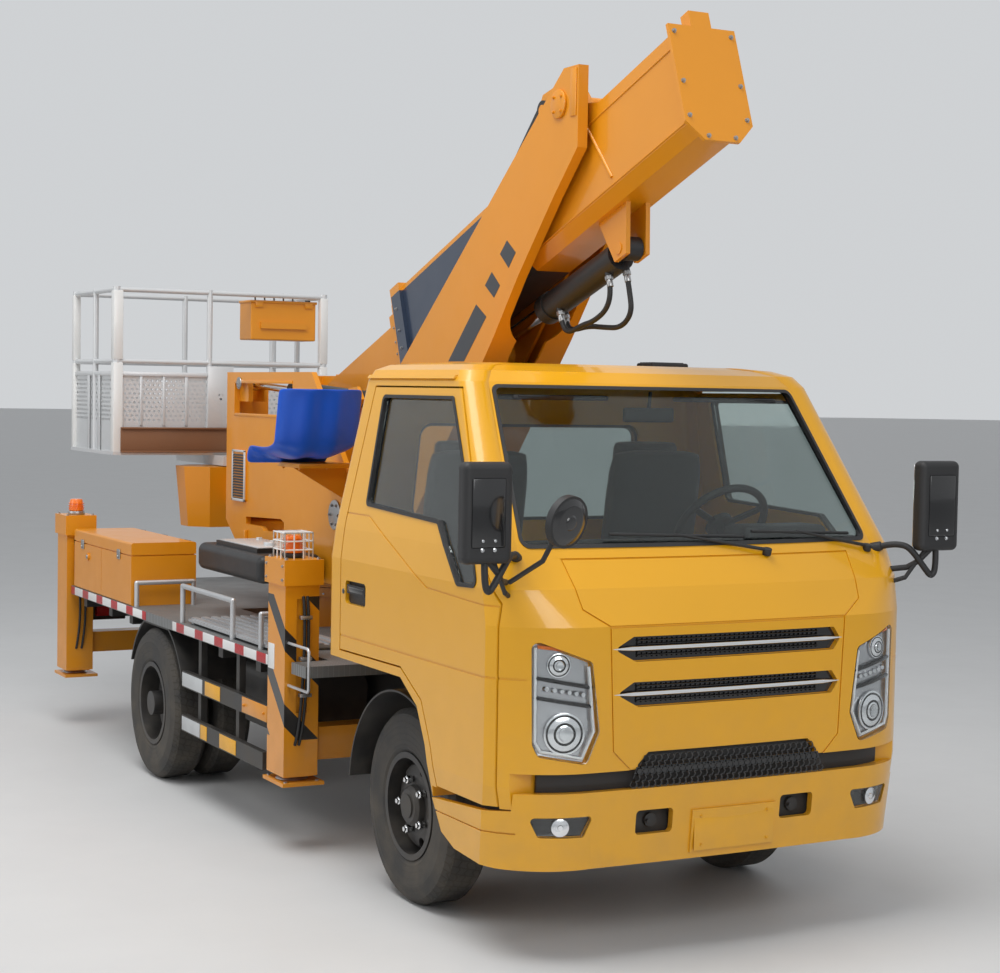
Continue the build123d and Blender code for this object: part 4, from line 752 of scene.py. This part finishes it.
boxes = bmesh.new()
for y, name in ((-430, "right"), (430, "left")):
    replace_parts(pad("seat_cushion_" + name, (10, y, 1182), (485, 465, 132), 0, 3), "cab_seats")
    pad("seat_back_" + name, (-208, y, 1520), (560, 445, 104), BACK_LEAN, 4)
    pad("head_rest_" + name, (-262, y, 1776), (110, 300, 88), BACK_LEAN, 0)
    add_block(boxes, -200, 220, y - 190, y + 190, 966, 1118, bevel=8)
    for x in (-198, 216):
        add_block(boxes, x, x + 6, y - 150, y + 150, 1000, 1090, bevel=2)
piece("seat_boxes", boxes, black_plastic, "truck")

# Dash pad, sun visors and inner mirror: a moulded foam pad with an instrument hood and four air vents,
# and under the roof two padded visors on wire hinges with the mirror between them, on its stalk.
dash = bmesh.new()
add_block(dash, 585, 812, -770, 770, 1418, 1486, bevel=26, segments=4)
add_block(dash, 610, 790, 235, 625, 1470, 1536, bevel=30, segments=4)
for y in (-640, -150, 60, 690):
    add_block(dash, 700, 790, y - 62, y + 62, 1482, 1492, bevel=4)
piece("dash_pad", dash, black_plastic, "truck")
visors = bmesh.new()
for y in (-400, 400):
    add_block(visors, 312, 448, y - 210, y + 210, 2006, 2026, bevel=8, segments=3)
    add_rod(visors, (446, y - 190, 2022), (446, y + 190, 2022), 5, 10)
add_rod(visors, (446, 0, 2044), (436, 0, 1970), 7, 12)
add_block(visors, 424, 446, -115, 115, 1925, 1982, bevel=9, segments=3)
piece("visors_and_mirror", visors, black_plastic, "truck")

# Deck: chequered steel plate with raised lozenges in two directions, in grey paint, between orange
# sheet steel lockers with galvanised rails. Their latches, hinges and locks are bolted on.
# A red and white reflective tape is stuck along both sides and across the rear.
BODY_ORANGE = (0.74, 0.275, 0.003)
body_paint = material("body_paint", BODY_ORANGE, 0.40, coat=0.3, dust=0.25, variation=0.16,
                      scale=260.0, grain=0.05)
tread_plate = material("tread_plate", (0.17, 0.175, 0.175), 0.48, metal=0.35, dust=0.35,
                       variation=0.4, scale=120.0, grain=0.12)
LOZENGES_PER_METRE, LOZENGE_LENGTH, LOZENGE_NARROW = 40.0, 0.44, 3.2
tree = tread_plate.node_tree
px, py = axes(tree, surface_point(tree))[:2]
u, v = (px + py) * LOZENGES_PER_METRE, (px - py) * LOZENGES_PER_METRE
odd = ((u.whole() + v.whole()) * 0.5).fraction() < 0.25
from_u, from_v = (u.fraction() - 0.5).size(), (v.fraction() - 0.5).size()
lozenge = ((from_u + from_v * LOZENGE_NARROW < LOZENGE_LENGTH) * odd
           + (from_v + from_u * LOZENGE_NARROW < LOZENGE_LENGTH) * (1.0 - odd))
recolour(tread_plate, lozenge, (0.30, 0.31, 0.31))
emboss(tread_plate, lozenge, 0.8, 0.003, keep_grain=False)
galvanised = material("galvanised", (0.55, 0.56, 0.57), 0.42, metal=0.75, dust=0.10,
                      variation=0.5, scale=60.0, grain=0.06)
dress(tread_plate, "deck")
dress(body_paint, "toolboxes")
dress(galvanised, "deck_rails")
lockers = bmesh.new()
for side in (-1, 1):
    for x in (-4120, -3420):
        add_block(lockers, x - 26, x + 26, side * 950, side * 957, 1086, 1140, bevel=3)
        add_rod(lockers, (x, side * 957, 1100), (x, side * 962, 1100), 8, 16, bevel=1)
    for x in (-4150, -3750, -3350):
        add_rod(lockers, (x - 40, side * 583, 1184), (x + 40, side * 583, 1184), 6, 12)
    add_rod(lockers, (-4010, side * 958, 1050), (-4010, side * 963, 1050), 12, 20, bevel=1)
    add_block(lockers, -4013, -4007, side * 962, side * 965, 1040, 1060)
piece("locker_latches", lockers, steel_bolt, "truck")

ENDLESS = 1000.0
bands, given, result = new_group(
    "bands",
    [("Value", "NodeSocketFloat", 0.0), ("Period", "NodeSocketFloat", 0.1), ("Share", "NodeSocketFloat", 0.5),
     ("Start", "NodeSocketFloat", -ENDLESS), ("End", "NodeSocketFloat", ENDLESS)],
    [("Mask", "NodeSocketFloat")],
)
phase = calc(bands, "FRACT", calc(bands, "DIVIDE", given["Value"], given["Period"]))
inside = (calc(bands, "GREATER_THAN", given["Value"], given["Start"])
          * calc(bands, "LESS_THAN", given["Value"], given["End"]))
feed(bands, result["Mask"], (phase < given["Share"]) * inside)


def stripes(tree, value, period, share, start=-ENDLESS, end=ENDLESS):
    """Bands of a period along a value: 1 over a share of it, between start and end."""
    node = tree.nodes.new("ShaderNodeGroup")
    node.node_tree = bands
    asked = {"Value": value, "Period": period, "Share": share, "Start": start, "End": end}
    for label, number in asked.items():
        feed(tree, node.inputs[label], number)
    return Signal(tree, node.outputs["Mask"])


TAPE_PERIOD, TAPE_RED_SHARE, TAPE_RED = 0.28, 0.42, (0.46, 0.012, 0.018)
TAPE_FOOT, TAPE_TOP = 803, 847


def red_and_white(name, axis, shift):
    """Reflective tape with red bands along x or y."""
    tape = material(name, (0.80, 0.80, 0.79), 0.30, dust=0.25, variation=0.2, scale=600.0,
                    grain=0.4)
    along = axes(tape.node_tree, surface_point(tape.node_tree))[axis] + shift
    recolour(tape, stripes(tape.node_tree, along, TAPE_PERIOD, TAPE_RED_SHARE), TAPE_RED)
    return tape


side_strips = bmesh.new()
for side in (-1, 1):
    for x0, x1 in ((-4358, -2940), (-2500, -1170)):
        add_block(side_strips, x0, x1, side * 949, side * 952.5, TAPE_FOOT, TAPE_TOP, bevel=1)
piece("edge_tape_strips", side_strips, red_and_white("edge_tape", 0, 3.0), "truck")
rear_strips = bmesh.new()
add_block(rear_strips, -4580, -4583, -770, 770, TAPE_FOOT, TAPE_TOP, bevel=1)
add_block(rear_strips, -4550, -4553, -370, 370, 448, 494, bevel=1)
piece("rear_tape_strips", rear_strips, red_and_white("rear_tape", 1, 5.0), "truck")

# Side guards: two black rails between the wheels on each side, with silver and yellow reflective patches
# stuck on, and an orange steel arm that bolts the upper rail to the outrigger.
tape_silver = material("tape_silver", (0.62, 0.64, 0.65), 0.30, metal=0.2, dust=0.25,
                       variation=0.3, scale=500.0, grain=0.5)
tape_yellow = material("tape_yellow", (0.86, 0.42, 0.012), 0.32, dust=0.25, variation=0.2,
                       scale=500.0, grain=0.4)
dress(black_paint, "side_guards")
UPPER_RAIL, LOWER_RAIL = (546, 614), (326, 394)
silver, yellow, arms = bmesh.new(), bmesh.new(), bmesh.new()
for side in (-1, 1):
    for patches, x0, x1, rail in ((silver, -2325, -2030, UPPER_RAIL), (silver, -2325, -2060, LOWER_RAIL),
                                  (yellow, -1990, -1780, UPPER_RAIL), (yellow, -2050, -1960, LOWER_RAIL),
                                  (yellow, -1780, -1560, LOWER_RAIL)):
        add_block(patches, x0, x1, side * 955, side * 957.5, *rail, bevel=1)
    add_block(arms, -1480, -1165, side * 953, side * 959, 544, 616, bevel=2)
    for x in (-1450, -1200):
        add_bolt(arms, (x, side * 959, 580), (0, side, 0), 8)
piece("guard_silver_patches", silver, tape_silver, "truck")
piece("guard_yellow_patches", yellow, tape_yellow, "truck")
piece("guard_arms", arms, body_paint, "truck")

# Rear end: on each side a red lamp unit behind a black moulded bezel with three amber faces, screwed to
# the crossmember, and between them a blank white sheet metal plate on two hexagon screws.
white_paint = material("white_paint", (0.78, 0.78, 0.76), 0.38, coat=0.3, dust=0.15,
                       scale=300.0, grain=0.04)
red_lens = material("red_lens", (0.48, 0.010, 0.010), 0.18, coat=0.5, dust=0.1, scale=300.0,
                    grain=0.35)
dress(red_lens, "rear_lamps")
LAMP_PITCH, LAMP_WIDTH = 76, 68
bezels, lamp_faces = bmesh.new(), bmesh.new()
for side in (-1, 1):
    add_block(bezels, -4612, -4580, side * 552, side * 798, 612, 718, bevel=5)
    for n in range(3):
        y = 572 + n * LAMP_PITCH
        add_block(lamp_faces, -4634, -4626, side * y, side * (y + LAMP_WIDTH), 626, 704, bevel=4)
piece("rear_lamp_bezels", bezels, black_plastic, "truck")
piece("rear_lamp_faces", lamp_faces, orange_lens, "truck")
rear_plate = bmesh.new()
add_block(rear_plate, -4590.5, -4594.5, -210, 210, 600, 720, bevel=1.5)
for y in (-180, 180):
    add_bolt(rear_plate, (-4594.5, y, 704), (-1, 0, 0), 6)
piece("rear_blank_plate", rear_plate, white_paint, "truck")

# Outriggers: welded steel columns in orange paint, the front pair with black diagonals, under bolted caps
# with an amber lamp, in a white wire cage at the front. Rubber hoses are clipped down each column, beside a
# galvanised hoop and a blank tag on the front ones. The legs end in round pressed steel shoes.
BLACK = (0.012, 0.012, 0.013)
column_paint = material("column_paint", BODY_ORANGE, 0.36, coat=0.45, dust=0.25,
                        variation=0.16, scale=260.0, grain=0.05)
tree = column_paint.node_tree
px, py, pz = axes(tree, surface_point(tree))
along = pz + (px - AXLE_X) - py.size()
below_cap = (pz < 1.13) * (pz > 0.50)
recolour(column_paint, stripes(tree, along + 1.005, 0.33, 0.30, -1.0, 0.60) * below_cap, BLACK)
dress(column_paint, "outrigger_front_left", "outrigger_front_right")
dress(body_paint, "outrigger_frames", "leg_front_left", "leg_front_right", "leg_rear_left", "leg_rear_right")


def add_disc(mesh, x, y, z0, z1, radius, segments=32, end_radius=None, bevel=0.0):
    """An upright round piece between two heights."""
    add_rod(mesh, (x, y, z0), (x, y, z1), radius, segments, end_radius, bevel)


LAMP_X, BEACON_X, COLUMN_Y = -1045, -4480, 890
CAP_TOP, REAR_CAP_TOP, CAGE_TOP = 1292, 1262, 1405
CAGE_HALF, CAGE_WIRE = 66, 3.4
GUARD = [(-930, 930), (-712, 930), (-700, 918), (-700, 757), (-712, 745), (-930, 745)]
COLUMN_PIPE = [(-930, 868, 1130), (-914, 868, 1100), (-912, 866, 900), (-913, 880, 640), (-912, 896, 520),
               (-930, 900, 480)]
REAR_PIPE = [(-4390, 890, 880), (-4374, 890, 840), (-4372, 886, 660), (-4374, 900, 520), (-4390, 905, 470)]
for side, name in SIDES:
    body = "outrigger_" + name
    column_y = side * COLUMN_Y
    bolts = bmesh.new()
    for x in (-1125, -935):
        for y in (815, 965):
            add_bolt(bolts, (x, side * y, CAP_TOP), (0, 0, 1), 9)
        for z in (1205, 1265):
            add_bolt(bolts, (x, side * 982, z), (0, side, 0), 7)
    piece("front_cap_bolts_" + name, bolts, steel_bolt, body)
    lamp_base = bmesh.new()
    add_disc(lamp_base, LAMP_X, column_y, CAP_TOP, CAP_TOP + 20, 48, bevel=4)
    piece("column_lamp_base_" + name, lamp_base, black_plastic, body)
    dome = bmesh.new()
    add_disc(dome, LAMP_X, column_y, 1312, 1392, 44, end_radius=36, bevel=9)
    for z in (1330, 1345, 1360, 1375):
        add_disc(dome, LAMP_X, column_y, z, z + 4, 45.5)
    piece("column_lamp_" + name, dome, orange_lens, body)
    cage = bmesh.new()
    for out in (-CAGE_HALF, CAGE_HALF):
        for step in (-66, -22, 22, 66):
            for x, y in ((LAMP_X + step, column_y + out), (LAMP_X + out, column_y + step)):
                add_disc(cage, x, y, CAP_TOP, CAGE_TOP, CAGE_WIRE, 8)
        for z in (1330, 1368, CAGE_TOP):
            add_rod(cage, (LAMP_X - CAGE_HALF, column_y + out, z), (LAMP_X + CAGE_HALF, column_y + out, z),
                    CAGE_WIRE, 8)
            add_rod(cage, (LAMP_X + out, column_y - CAGE_HALF, z), (LAMP_X + out, column_y + CAGE_HALF, z),
                    CAGE_WIRE, 8)
    for step in (-66, -22, 22, 66):
        add_rod(cage, (LAMP_X + step, column_y - CAGE_HALF, CAGE_TOP),
                (LAMP_X + step, column_y + CAGE_HALF, CAGE_TOP), CAGE_WIRE, 8)
    piece("lamp_cage_" + name, cage, white_paint, body)
    tube("column_guard_" + name, [(x, side * 952, z) for x, z in GUARD], 6.5, galvanised, body)
    tag = bmesh.new()
    add_block(tag, -1120, -1048, side * 970, side * 973, 800, 912, bevel=1)
    piece("column_tag_" + name, tag, white_paint, body)
    for n, shift in enumerate((0, 18)):
        route = [(x, side * (y + shift), z) for x, y, z in COLUMN_PIPE]
        tube("column_pipe_%d_%s" % (n, name), route, 7.0, hose_rubber, body, smooth=True)
    clips = bmesh.new()
    for z in (1040, 860, 700):
        add_block(clips, -930, -902, side * 852, side * 906, z - 8, z + 8, bevel=2)
    piece("column_clips_" + name, clips, steel_bolt, body)
    shoe = bmesh.new()
    add_disc(shoe, -1030, column_y, 318, 334, 74, end_radius=56, bevel=3)
    for x in (-1130, -930):
        for y in (812, 960):
            add_disc(shoe, x, side * y, 316, 322, 9, 6)
    piece("front_shoe_" + name, shoe, steel_bolt, "leg_front_" + name)
    rear_bolts = bmesh.new()
    for x in (-4585, -4395):
        for y in (815, 965):
            add_bolt(rear_bolts, (x, side * y, REAR_CAP_TOP), (0, 0, 1), 9)
    add_disc(rear_bolts, BEACON_X, column_y, REAR_CAP_TOP, REAR_CAP_TOP + 22, 50, bevel=4)
    piece("rear_cap_bolts_" + name, rear_bolts, steel_bolt, "truck")
    beacon = bmesh.new()
    add_disc(beacon, BEACON_X, column_y, 1284, 1356, 46, 36, end_radius=37, bevel=10)
    for z in (1300, 1314, 1328):
        add_disc(beacon, BEACON_X, column_y, z, z + 4, 47, 36)
    piece("rear_beacon_" + name, beacon, orange_lens, "truck")
    rear_shoe = bmesh.new()
    add_disc(rear_shoe, -4490, column_y, 318, 334, 74, end_radius=56, bevel=3)
    piece("rear_shoe_" + name, rear_shoe, steel_bolt, "leg_rear_" + name)
    for n, shift in enumerate((-26, 6)):
        route = [(x, side * (y + shift), z) for x, y, z in REAR_PIPE]
        tube("rear_pipe_%d_%s" % (n, name), route, 7.0, hose_rubber, "truck", smooth=True)

# Turntable: two upright orange plates on a turning base, over a bearing held by a ring of bolts. The right
# plate has a louvred vent in a bright rim. Round covers hide the pins, flat bars stiffen the plates'
# edges, and the black oil tank beside them has a level plate, a filler cap and two plugs.
dress(body_paint, "turntable", "slew_pedestal")
dress(black_paint, "oil_tank")
TURN_X, BOLT_CIRCLE, STUD_RING = -2450, 382, 410
ring = bmesh.new()
for n in range(30):
    angle = math.radians(n * 12)
    at = (TURN_X + BOLT_CIRCLE * math.cos(angle), BOLT_CIRCLE * math.sin(angle), 985)
    add_bolt(ring, at, (0, 0, -1), 11)
    across, aside = math.cos(angle + 0.1), math.sin(angle + 0.1)
    add_rod(ring, (TURN_X + STUD_RING * across, STUD_RING * aside, 1000),
            (TURN_X + (STUD_RING + 6) * across, (STUD_RING + 6) * aside, 1000), 5, 8)
piece("bearing_bolts", ring, steel_bolt, "truck")


def add_panel(mesh, corners, way):
    """A plate of layout points, thickened along a vector given in millimetres."""
    face = mesh.faces.new([mesh.verts.new(metres(*corner)) for corner in corners])
    moved = bmesh.ops.extrude_face_region(mesh, geom=[face])["geom"]
    verts = [item for item in moved if isinstance(item, bmesh.types.BMVert)]
    bmesh.ops.translate(mesh, verts=verts, vec=Vector(way) / 1000)


louvres = bmesh.new()
for z in range(1428, 1428 + 17 * 15, 15):
    add_panel(louvres, [(-3256, -352, z), (-3092, -352, z), (-3092, -358, z - 7), (-3256, -358, z - 7)],
              (0, 0.5, 3))
piece("vent_louvres", louvres, black_paint, "turntable")
vent_rim = bmesh.new()
for x0, x1, z0, z1 in ((-3272, -3258, 1412, 1694), (-3090, -3076, 1412, 1694), (-3272, -3076, 1412, 1426),
                       (-3272, -3076, 1682, 1694)):
    add_block(vent_rim, x0, x1, -351, -360, z0, z1, bevel=2)
piece("vent_rim", vent_rim, tape_silver, "turntable")
PLATE_FACE = 343
pin_covers, plate_edges = bmesh.new(), bmesh.new()
for side in (-1, 1):
    for x, z, radius in ((-1850, 1420, 74), (-3200, 2060, 34)):
        add_rod(pin_covers, (x, side * PLATE_FACE, z), (x, side * (PLATE_FACE + 9), z), radius, 36, bevel=3)
        for n in range(6):
            angle = math.radians(n * 60)
            at = (x + radius * 0.72 * math.cos(angle), side * (PLATE_FACE + 9),
                  z + radius * 0.72 * math.sin(angle))
            add_bolt(pin_covers, at, (0, side, 0), radius * 0.11)
    for x0, x1, z0, z1 in ((-3270, -2430, 1880, 1896), (-3270, -2430, 2059, 2075),
                           (-3286, -3270, 1880, 2075)):
        add_block(plate_edges, x0, x1, side * PLATE_FACE, side * (PLATE_FACE + 4), z0, z1, bevel=1.5)
    for x in (-3060, -2640, -2220):
        add_block(plate_edges, x - 7, x + 7, side * PLATE_FACE, side * 362, 1110, 1260, bevel=3)
piece("pin_covers", pin_covers, steel_bolt, "turntable")
piece("turntable_edges", plate_edges, body_paint, "turntable")
tank_trim = bmesh.new()
add_block(tank_trim, -2690, -2120, -640, -410, 1239, 1245, bevel=2)
add_disc(tank_trim, -2230, -530, 1240, 1262, 36, bevel=4)
for x in (-2600, -2400):
    add_disc(tank_trim, x, -450, 1240, 1256, 17, 6)
piece("oil_tank_fittings", tank_trim, tape_silver, "turntable")

# Operator's seat: one shell of blue moulded plastic with a drooping lip, raised sides and shallow ribs.
# It is bolted to an orange steel bracket that is welded to the turntable's right plate.
blue_plastic = material("blue_plastic", (0.010, 0.105, 0.66), 0.33, dust=0.05, variation=0.2,
                        scale=700.0, grain=0.06)
SEAT_Y, SEAT_HALF, SEAT_WALL = -600, 212, 0.009
SEAT_PROFILE = [(-1850, 1674), (-1828, 1698), (-1780, 1710), (-1680, 1704), (-1570, 1706), (-1488, 1730),
                (-1446, 1800), (-1424, 1900), (-1404, 2000), (-1390, 2034)]
LAST_OF_SEAT = 5
shell = bmesh.new()
bmesh.ops.create_grid(shell, x_segments=len(SEAT_PROFILE) - 1, y_segments=12, size=1.0)
for vert in shell.verts:
    n = round((vert.co.x + 1) / 2 * (len(SEAT_PROFILE) - 1))
    across = vert.co.y
    x, z = SEAT_PROFILE[n]
    rib = 7 * math.cos(across * math.pi * 3) if 1 < n < 9 else 0.0
    if n > LAST_OF_SEAT:
        x -= 48 * abs(across) ** 4 + rib
    else:
        z += (58 * abs(across) ** 4 if n >= 1 else 0.0) + rib
    vert.co = metres(x, SEAT_Y + across * SEAT_HALF, z)
seat = piece("operator_seat_shell", shell, blue_plastic, "turntable", angle=80)
thick = seat.modifiers.new("thickness", "SOLIDIFY")
thick.thickness = SEAT_WALL
thick.offset = -1
rounded = seat.modifiers.new("rounding", "SUBSURF")
rounded.levels = rounded.render_levels = 2
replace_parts(seat, "operator_seat")
bracket = bmesh.new()
add_block(bracket, -1880, -1600, -640, -343, 1660, 1682, bevel=3)
add_panel(bracket, [(-1740, -343, 1500), (-1740, -343, 1660), (-1740, -620, 1660)], (12, 0, 0))
for x in (-1850, -1640):
    for y in (-620, -480):
        add_bolt(bracket, (x, y, 1660), (0, 0, -1), 9)
piece("seat_bracket", bracket, body_paint, "turntable")

# Lower arm: a welded orange box with three slanting dark patches painted on both cheeks. Round covers
# with four bolts close the pin that carries the knuckle head, beside an upright stiffening bar.
# The tie bars and the lift cylinders that move it are black, with chromed rods.
dress(body_paint, "lower_arm", "knuckle_head")
dress(black_paint, "tie_bars", "lift_barrels")
dress(chrome, "lift_rods")
dark_patch = material("dark_patch", (0.045, 0.050, 0.058), 0.40, dust=0.0, variation=0.2,
                      scale=300.0, grain=0.05)
# Each patch is four points of the photograph's frame, set back on to the right cheek from the camera.
PICTURE_WIDTH, PICTURE_HEIGHT = 1000, 973
CHEEK_Y = -0.1955
PATCHES = [[(476.2, 304.4), (486.3, 316.7), (463.9, 361.3), (448.3, 361.3)],
           [(491.8, 272.0), (500.0, 285.4), (494.0, 297.7), (485.0, 285.4)],
           [(507.0, 240.4), (515.7, 252.4), (508.6, 268.0), (500.0, 254.0)]]
patch_mesh = bmesh.new()
for patch in PATCHES:
    corners = []
    for across, down in patch:
        ray = (forward * (LENS / SENSOR * PICTURE_WIDTH) + right * (across - PICTURE_WIDTH / 2)
               - up * (down - PICTURE_HEIGHT / 2))
        hit = EYE + ray * ((CHEEK_Y - EYE.y) / ray.y)
        corners.append(((hit.x - AXLE_X) * 1000, hit.z * 1000))
    for side in (-1, 1):
        add_panel(patch_mesh, [(x, side * 195.2, z) for x, z in corners], (0, side * 0.8, 0))
piece("arm_patches", patch_mesh, dark_patch, "lower_arm")
KNUCKLE_X, KNUCKLE_Z = 30, 3200
knuckle_covers = bmesh.new()
for side in (-1, 1):
    add_rod(knuckle_covers, (KNUCKLE_X, side * 195, KNUCKLE_Z), (KNUCKLE_X, side * 206, KNUCKLE_Z), 58, 36,
            bevel=3)
    for n in range(4):
        angle = math.radians(45 + n * 90)
        at = (KNUCKLE_X + 42 * math.cos(angle), side * 206, KNUCKLE_Z + 42 * math.sin(angle))
        add_bolt(knuckle_covers, at, (0, side, 0), 7)
    add_block(knuckle_covers, 120, 166, side * 195, side * 200, 3140, 3330, bevel=2)
piece("knuckle_pin_covers", knuckle_covers, body_paint, "lower_arm")

# Upper boom: a welded orange box, navy over its rear half, with two sections and a tip that slide out of
# it through bolted collars. The root is closed by a bolted plate, and weld beads show along its sides.
# The luffing cylinder under it is black, with a chromed rod.
NAVY = (0.020, 0.034, 0.065)
BOOM_SLOPE = math.radians(20.0)
ROOT_X, ROOT_Z = 815, 3190
NAVY_FROM, NAVY_TO, NAVY_UNDER = 1.30, 2.575, -0.185
boom_paint = material("boom_paint", BODY_ORANGE, 0.36, coat=0.45, dust=0.05, variation=0.16,
                      scale=260.0, grain=0.05)
tree = boom_paint.node_tree
px, _, pz = axes(tree, surface_point(tree))
root = metres(ROOT_X, 0, ROOT_Z)
from_x, from_z = px - root.x, pz - root.z
run = from_x * -math.cos(BOOM_SLOPE) + from_z * -math.sin(BOOM_SLOPE)
drop = from_x * math.sin(BOOM_SLOPE) - from_z * math.cos(BOOM_SLOPE)
recolour(boom_paint, (run > NAVY_FROM) * (run < NAVY_TO) * (drop > NAVY_UNDER), NAVY)
dress(boom_paint, "boom_base")
dress(body_paint, "boom_second", "boom_third", "boom_tip")
dress(black_paint, "luff_barrel")
dress(chrome, "luff_rod")


def on_boom(run_at, drop_at, y):
    """A layout point at a distance back from the boom's root and below its centre line."""
    x = ROOT_X - run_at * math.cos(BOOM_SLOPE) + drop_at * math.sin(BOOM_SLOPE)
    return x, y, ROOT_Z - run_at * math.sin(BOOM_SLOPE) - drop_at * math.cos(BOOM_SLOPE)


boom_way = Vector((math.cos(BOOM_SLOPE), 0, math.sin(BOOM_SLOPE)))
end_bolts, beads = bmesh.new(), bmesh.new()
for y, drop_at in ((128, -205), (128, 0), (128, 140), (60, 218)):
    for side in (-1, 1):
        add_bolt(end_bolts, on_boom(-15, drop_at, side * y), boom_way, 9)
piece("boom_end_bolts", end_bolts, steel_bolt, "boom_base")
for side in (-1, 1):
    for start, end, radius in (((690, -195), (557, 121), 7), ((20, 152), (1180, 152), 4),
                               ((20, -152), (1180, -152), 4)):
        add_rod(beads, on_boom(*start, side * 125.5), on_boom(*end, side * 125.5), radius, 8)
piece("boom_weld_beads", beads, body_paint, "boom_base")
# Each collar: its distance from the root, half its width and height, and how far its cheeks stand out.
COLLARS = (("base", 2576, 122, 200, 23), ("second", 2656, 97, 166, 10), ("third", 2731, 77, 136, 13))
for name, start, half_width, half_height, proud in COLLARS:
    collar = bmesh.new()
    for side in (-1, 1):
        centre = Vector(on_boom(start, -half_height + 18, side * (half_width - 24)))
        add_rod(collar, centre, centre - boom_way * 12, 13, 20, bevel=2)
        for drop_at in (-half_height * 0.55, 0, half_height * 0.45):
            add_bolt(collar, on_boom(start - 40, drop_at, side * (half_width + proud)), (0, side, 0), 8)
    piece("collar_bolts_" + name, collar, steel_bolt, "boom_" + name)

# Leveller: the orange bracket that keeps the basket upright at the boom's tip. A wedge plate is welded
# to its front face, and a rib to each side.
dress(body_paint, "leveller")
wedge = bmesh.new()
add_panel(wedge, [(-4098, -120, 1500), (-4098, 120, 1500), (-4106, 60, 1230), (-4106, -60, 1230)], (6, 0, 0))
for side in (-1, 1):
    add_panel(wedge, [(-4160, side * 250, 1540), (-4330, side * 272, 1540), (-4320, side * 268, 1360)],
              (0, side * 10, 0))
piece("leveller_plates", wedge, body_paint, "leveller")

# Basket: a welded frame of pale painted tubes, with kick panels of perforated sheet between them.
# A beam in brown primer runs under the front panel, flat bars cross the panels, and three square posts
# stand at the corners. The orange control box has a lid on two hinges, five levers and a push button.
HOLE_PITCH, ROW_PITCH, HOLE_SIZE = 0.030, 0.026, 0.075
PANEL_FOOT, PANEL_TOP = 1.815, 2.085
basket_paint = material("basket_paint", (0.64, 0.65, 0.655), 0.36, metal=0.25, coat=0.2,
                        dust=0.0, variation=0.2, scale=220.0, grain=0.05)
tree = basket_paint.node_tree
px, py, pz = axes(tree, surface_point(tree))
shift = ((pz / ROW_PITCH).whole() * 0.5).fraction() * HOLE_PITCH
from_u = ((px + py + shift) / HOLE_PITCH).fraction() - 0.5
from_v = (pz / ROW_PITCH).fraction() - 0.5
facing_x, facing_y = axes(tree, surface_point(tree, "Normal"))[:2]
flat = facing_x.size().most(facing_y.size()) > 0.9995
on_panel = (pz > PANEL_FOOT) * (pz < PANEL_TOP)
hole = (from_u * from_u + from_v * from_v < HOLE_SIZE) * flat * on_panel
feed(tree, tree.nodes["Principled BSDF"].inputs["Alpha"], 1.0 - hole)
dress(basket_paint, "basket")
dress(body_paint, "basket_box")
brown_primer = material("brown_primer", (0.20, 0.085, 0.035), 0.62, dust=0.05, variation=0.45,
                        scale=140.0, grain=0.25)
beam = bmesh.new()
add_block(beam, -4263, -4253, -690, 590, 1642, 1788, bevel=2)
for z in (1640, 1780):
    add_block(beam, -4266, -4240, -690, 590, z, z + 10, bevel=2)
piece("basket_beam", beam, brown_primer, "basket")
BAR_FOOT, BAR_TOP = 2092, 2120
bars = bmesh.new()
for x in (-5136, -4286):
    add_block(bars, x - 14, x + 14, -690, 585, BAR_FOOT, BAR_TOP, bevel=5)
for y in (-711, 606):
    add_block(bars, -5115, -4307, y - 14, y + 14, BAR_FOOT, BAR_TOP, bevel=5)
for y in (-722, 617):
    for x in (-4820, -4600):
        add_block(bars, x - 20, x + 20, y - 3, y + 3, 1640, 2100, bevel=2)
for y in (-560, -420, -280, 60, 200, 340, 480):
    add_block(bars, -4284, -4276, y - 8, y + 8, 1800, 2100, bevel=2)
add_block(bars, -4258, -4262, -152, 10, 1790, 2160, bevel=1)
piece("basket_bars", bars, basket_paint, "basket")
posts = bmesh.new()
for x0, x1, y0, y1 in ((-4322, -4263, -734, -676), (-4312, -4263, 580, 629), (-5159, -5114, -734, -689)):
    for z0, z1 in ((1640, 2172), (2190, 2596)):
        add_block(posts, x0, x1, y0, y1, z0, z1, bevel=5)
piece("basket_posts", posts, white_paint, "basket")
BOX_TOP = 2562
levers = bmesh.new()
for y in range(200, 200 + 5 * 62, 62):
    add_rod(levers, (-4400, y, BOX_TOP), (-4408, y, BOX_TOP + 44), 5, 10)
    bmesh.ops.create_uvsphere(levers, u_segments=16, v_segments=10, radius=0.012,
                              matrix=Matrix.Translation(metres(-4409, y, BOX_TOP + 50)))
    add_disc(levers, -4400, y, BOX_TOP, BOX_TOP + 8, 15, 16, end_radius=9)
add_disc(levers, -4360, 530, BOX_TOP, BOX_TOP + 22, 17, 24, bevel=4)
piece("basket_levers", levers, black_plastic, "basket")
lid = bmesh.new()
add_block(lid, -4519, -4305, 134, 572, 2556, 2572, bevel=4)
for y in (190, 516):
    add_block(lid, -4310, -4303, y - 24, y + 24, 2530, 2564, bevel=2)
piece("basket_box_lid", lid, body_paint, "basket")
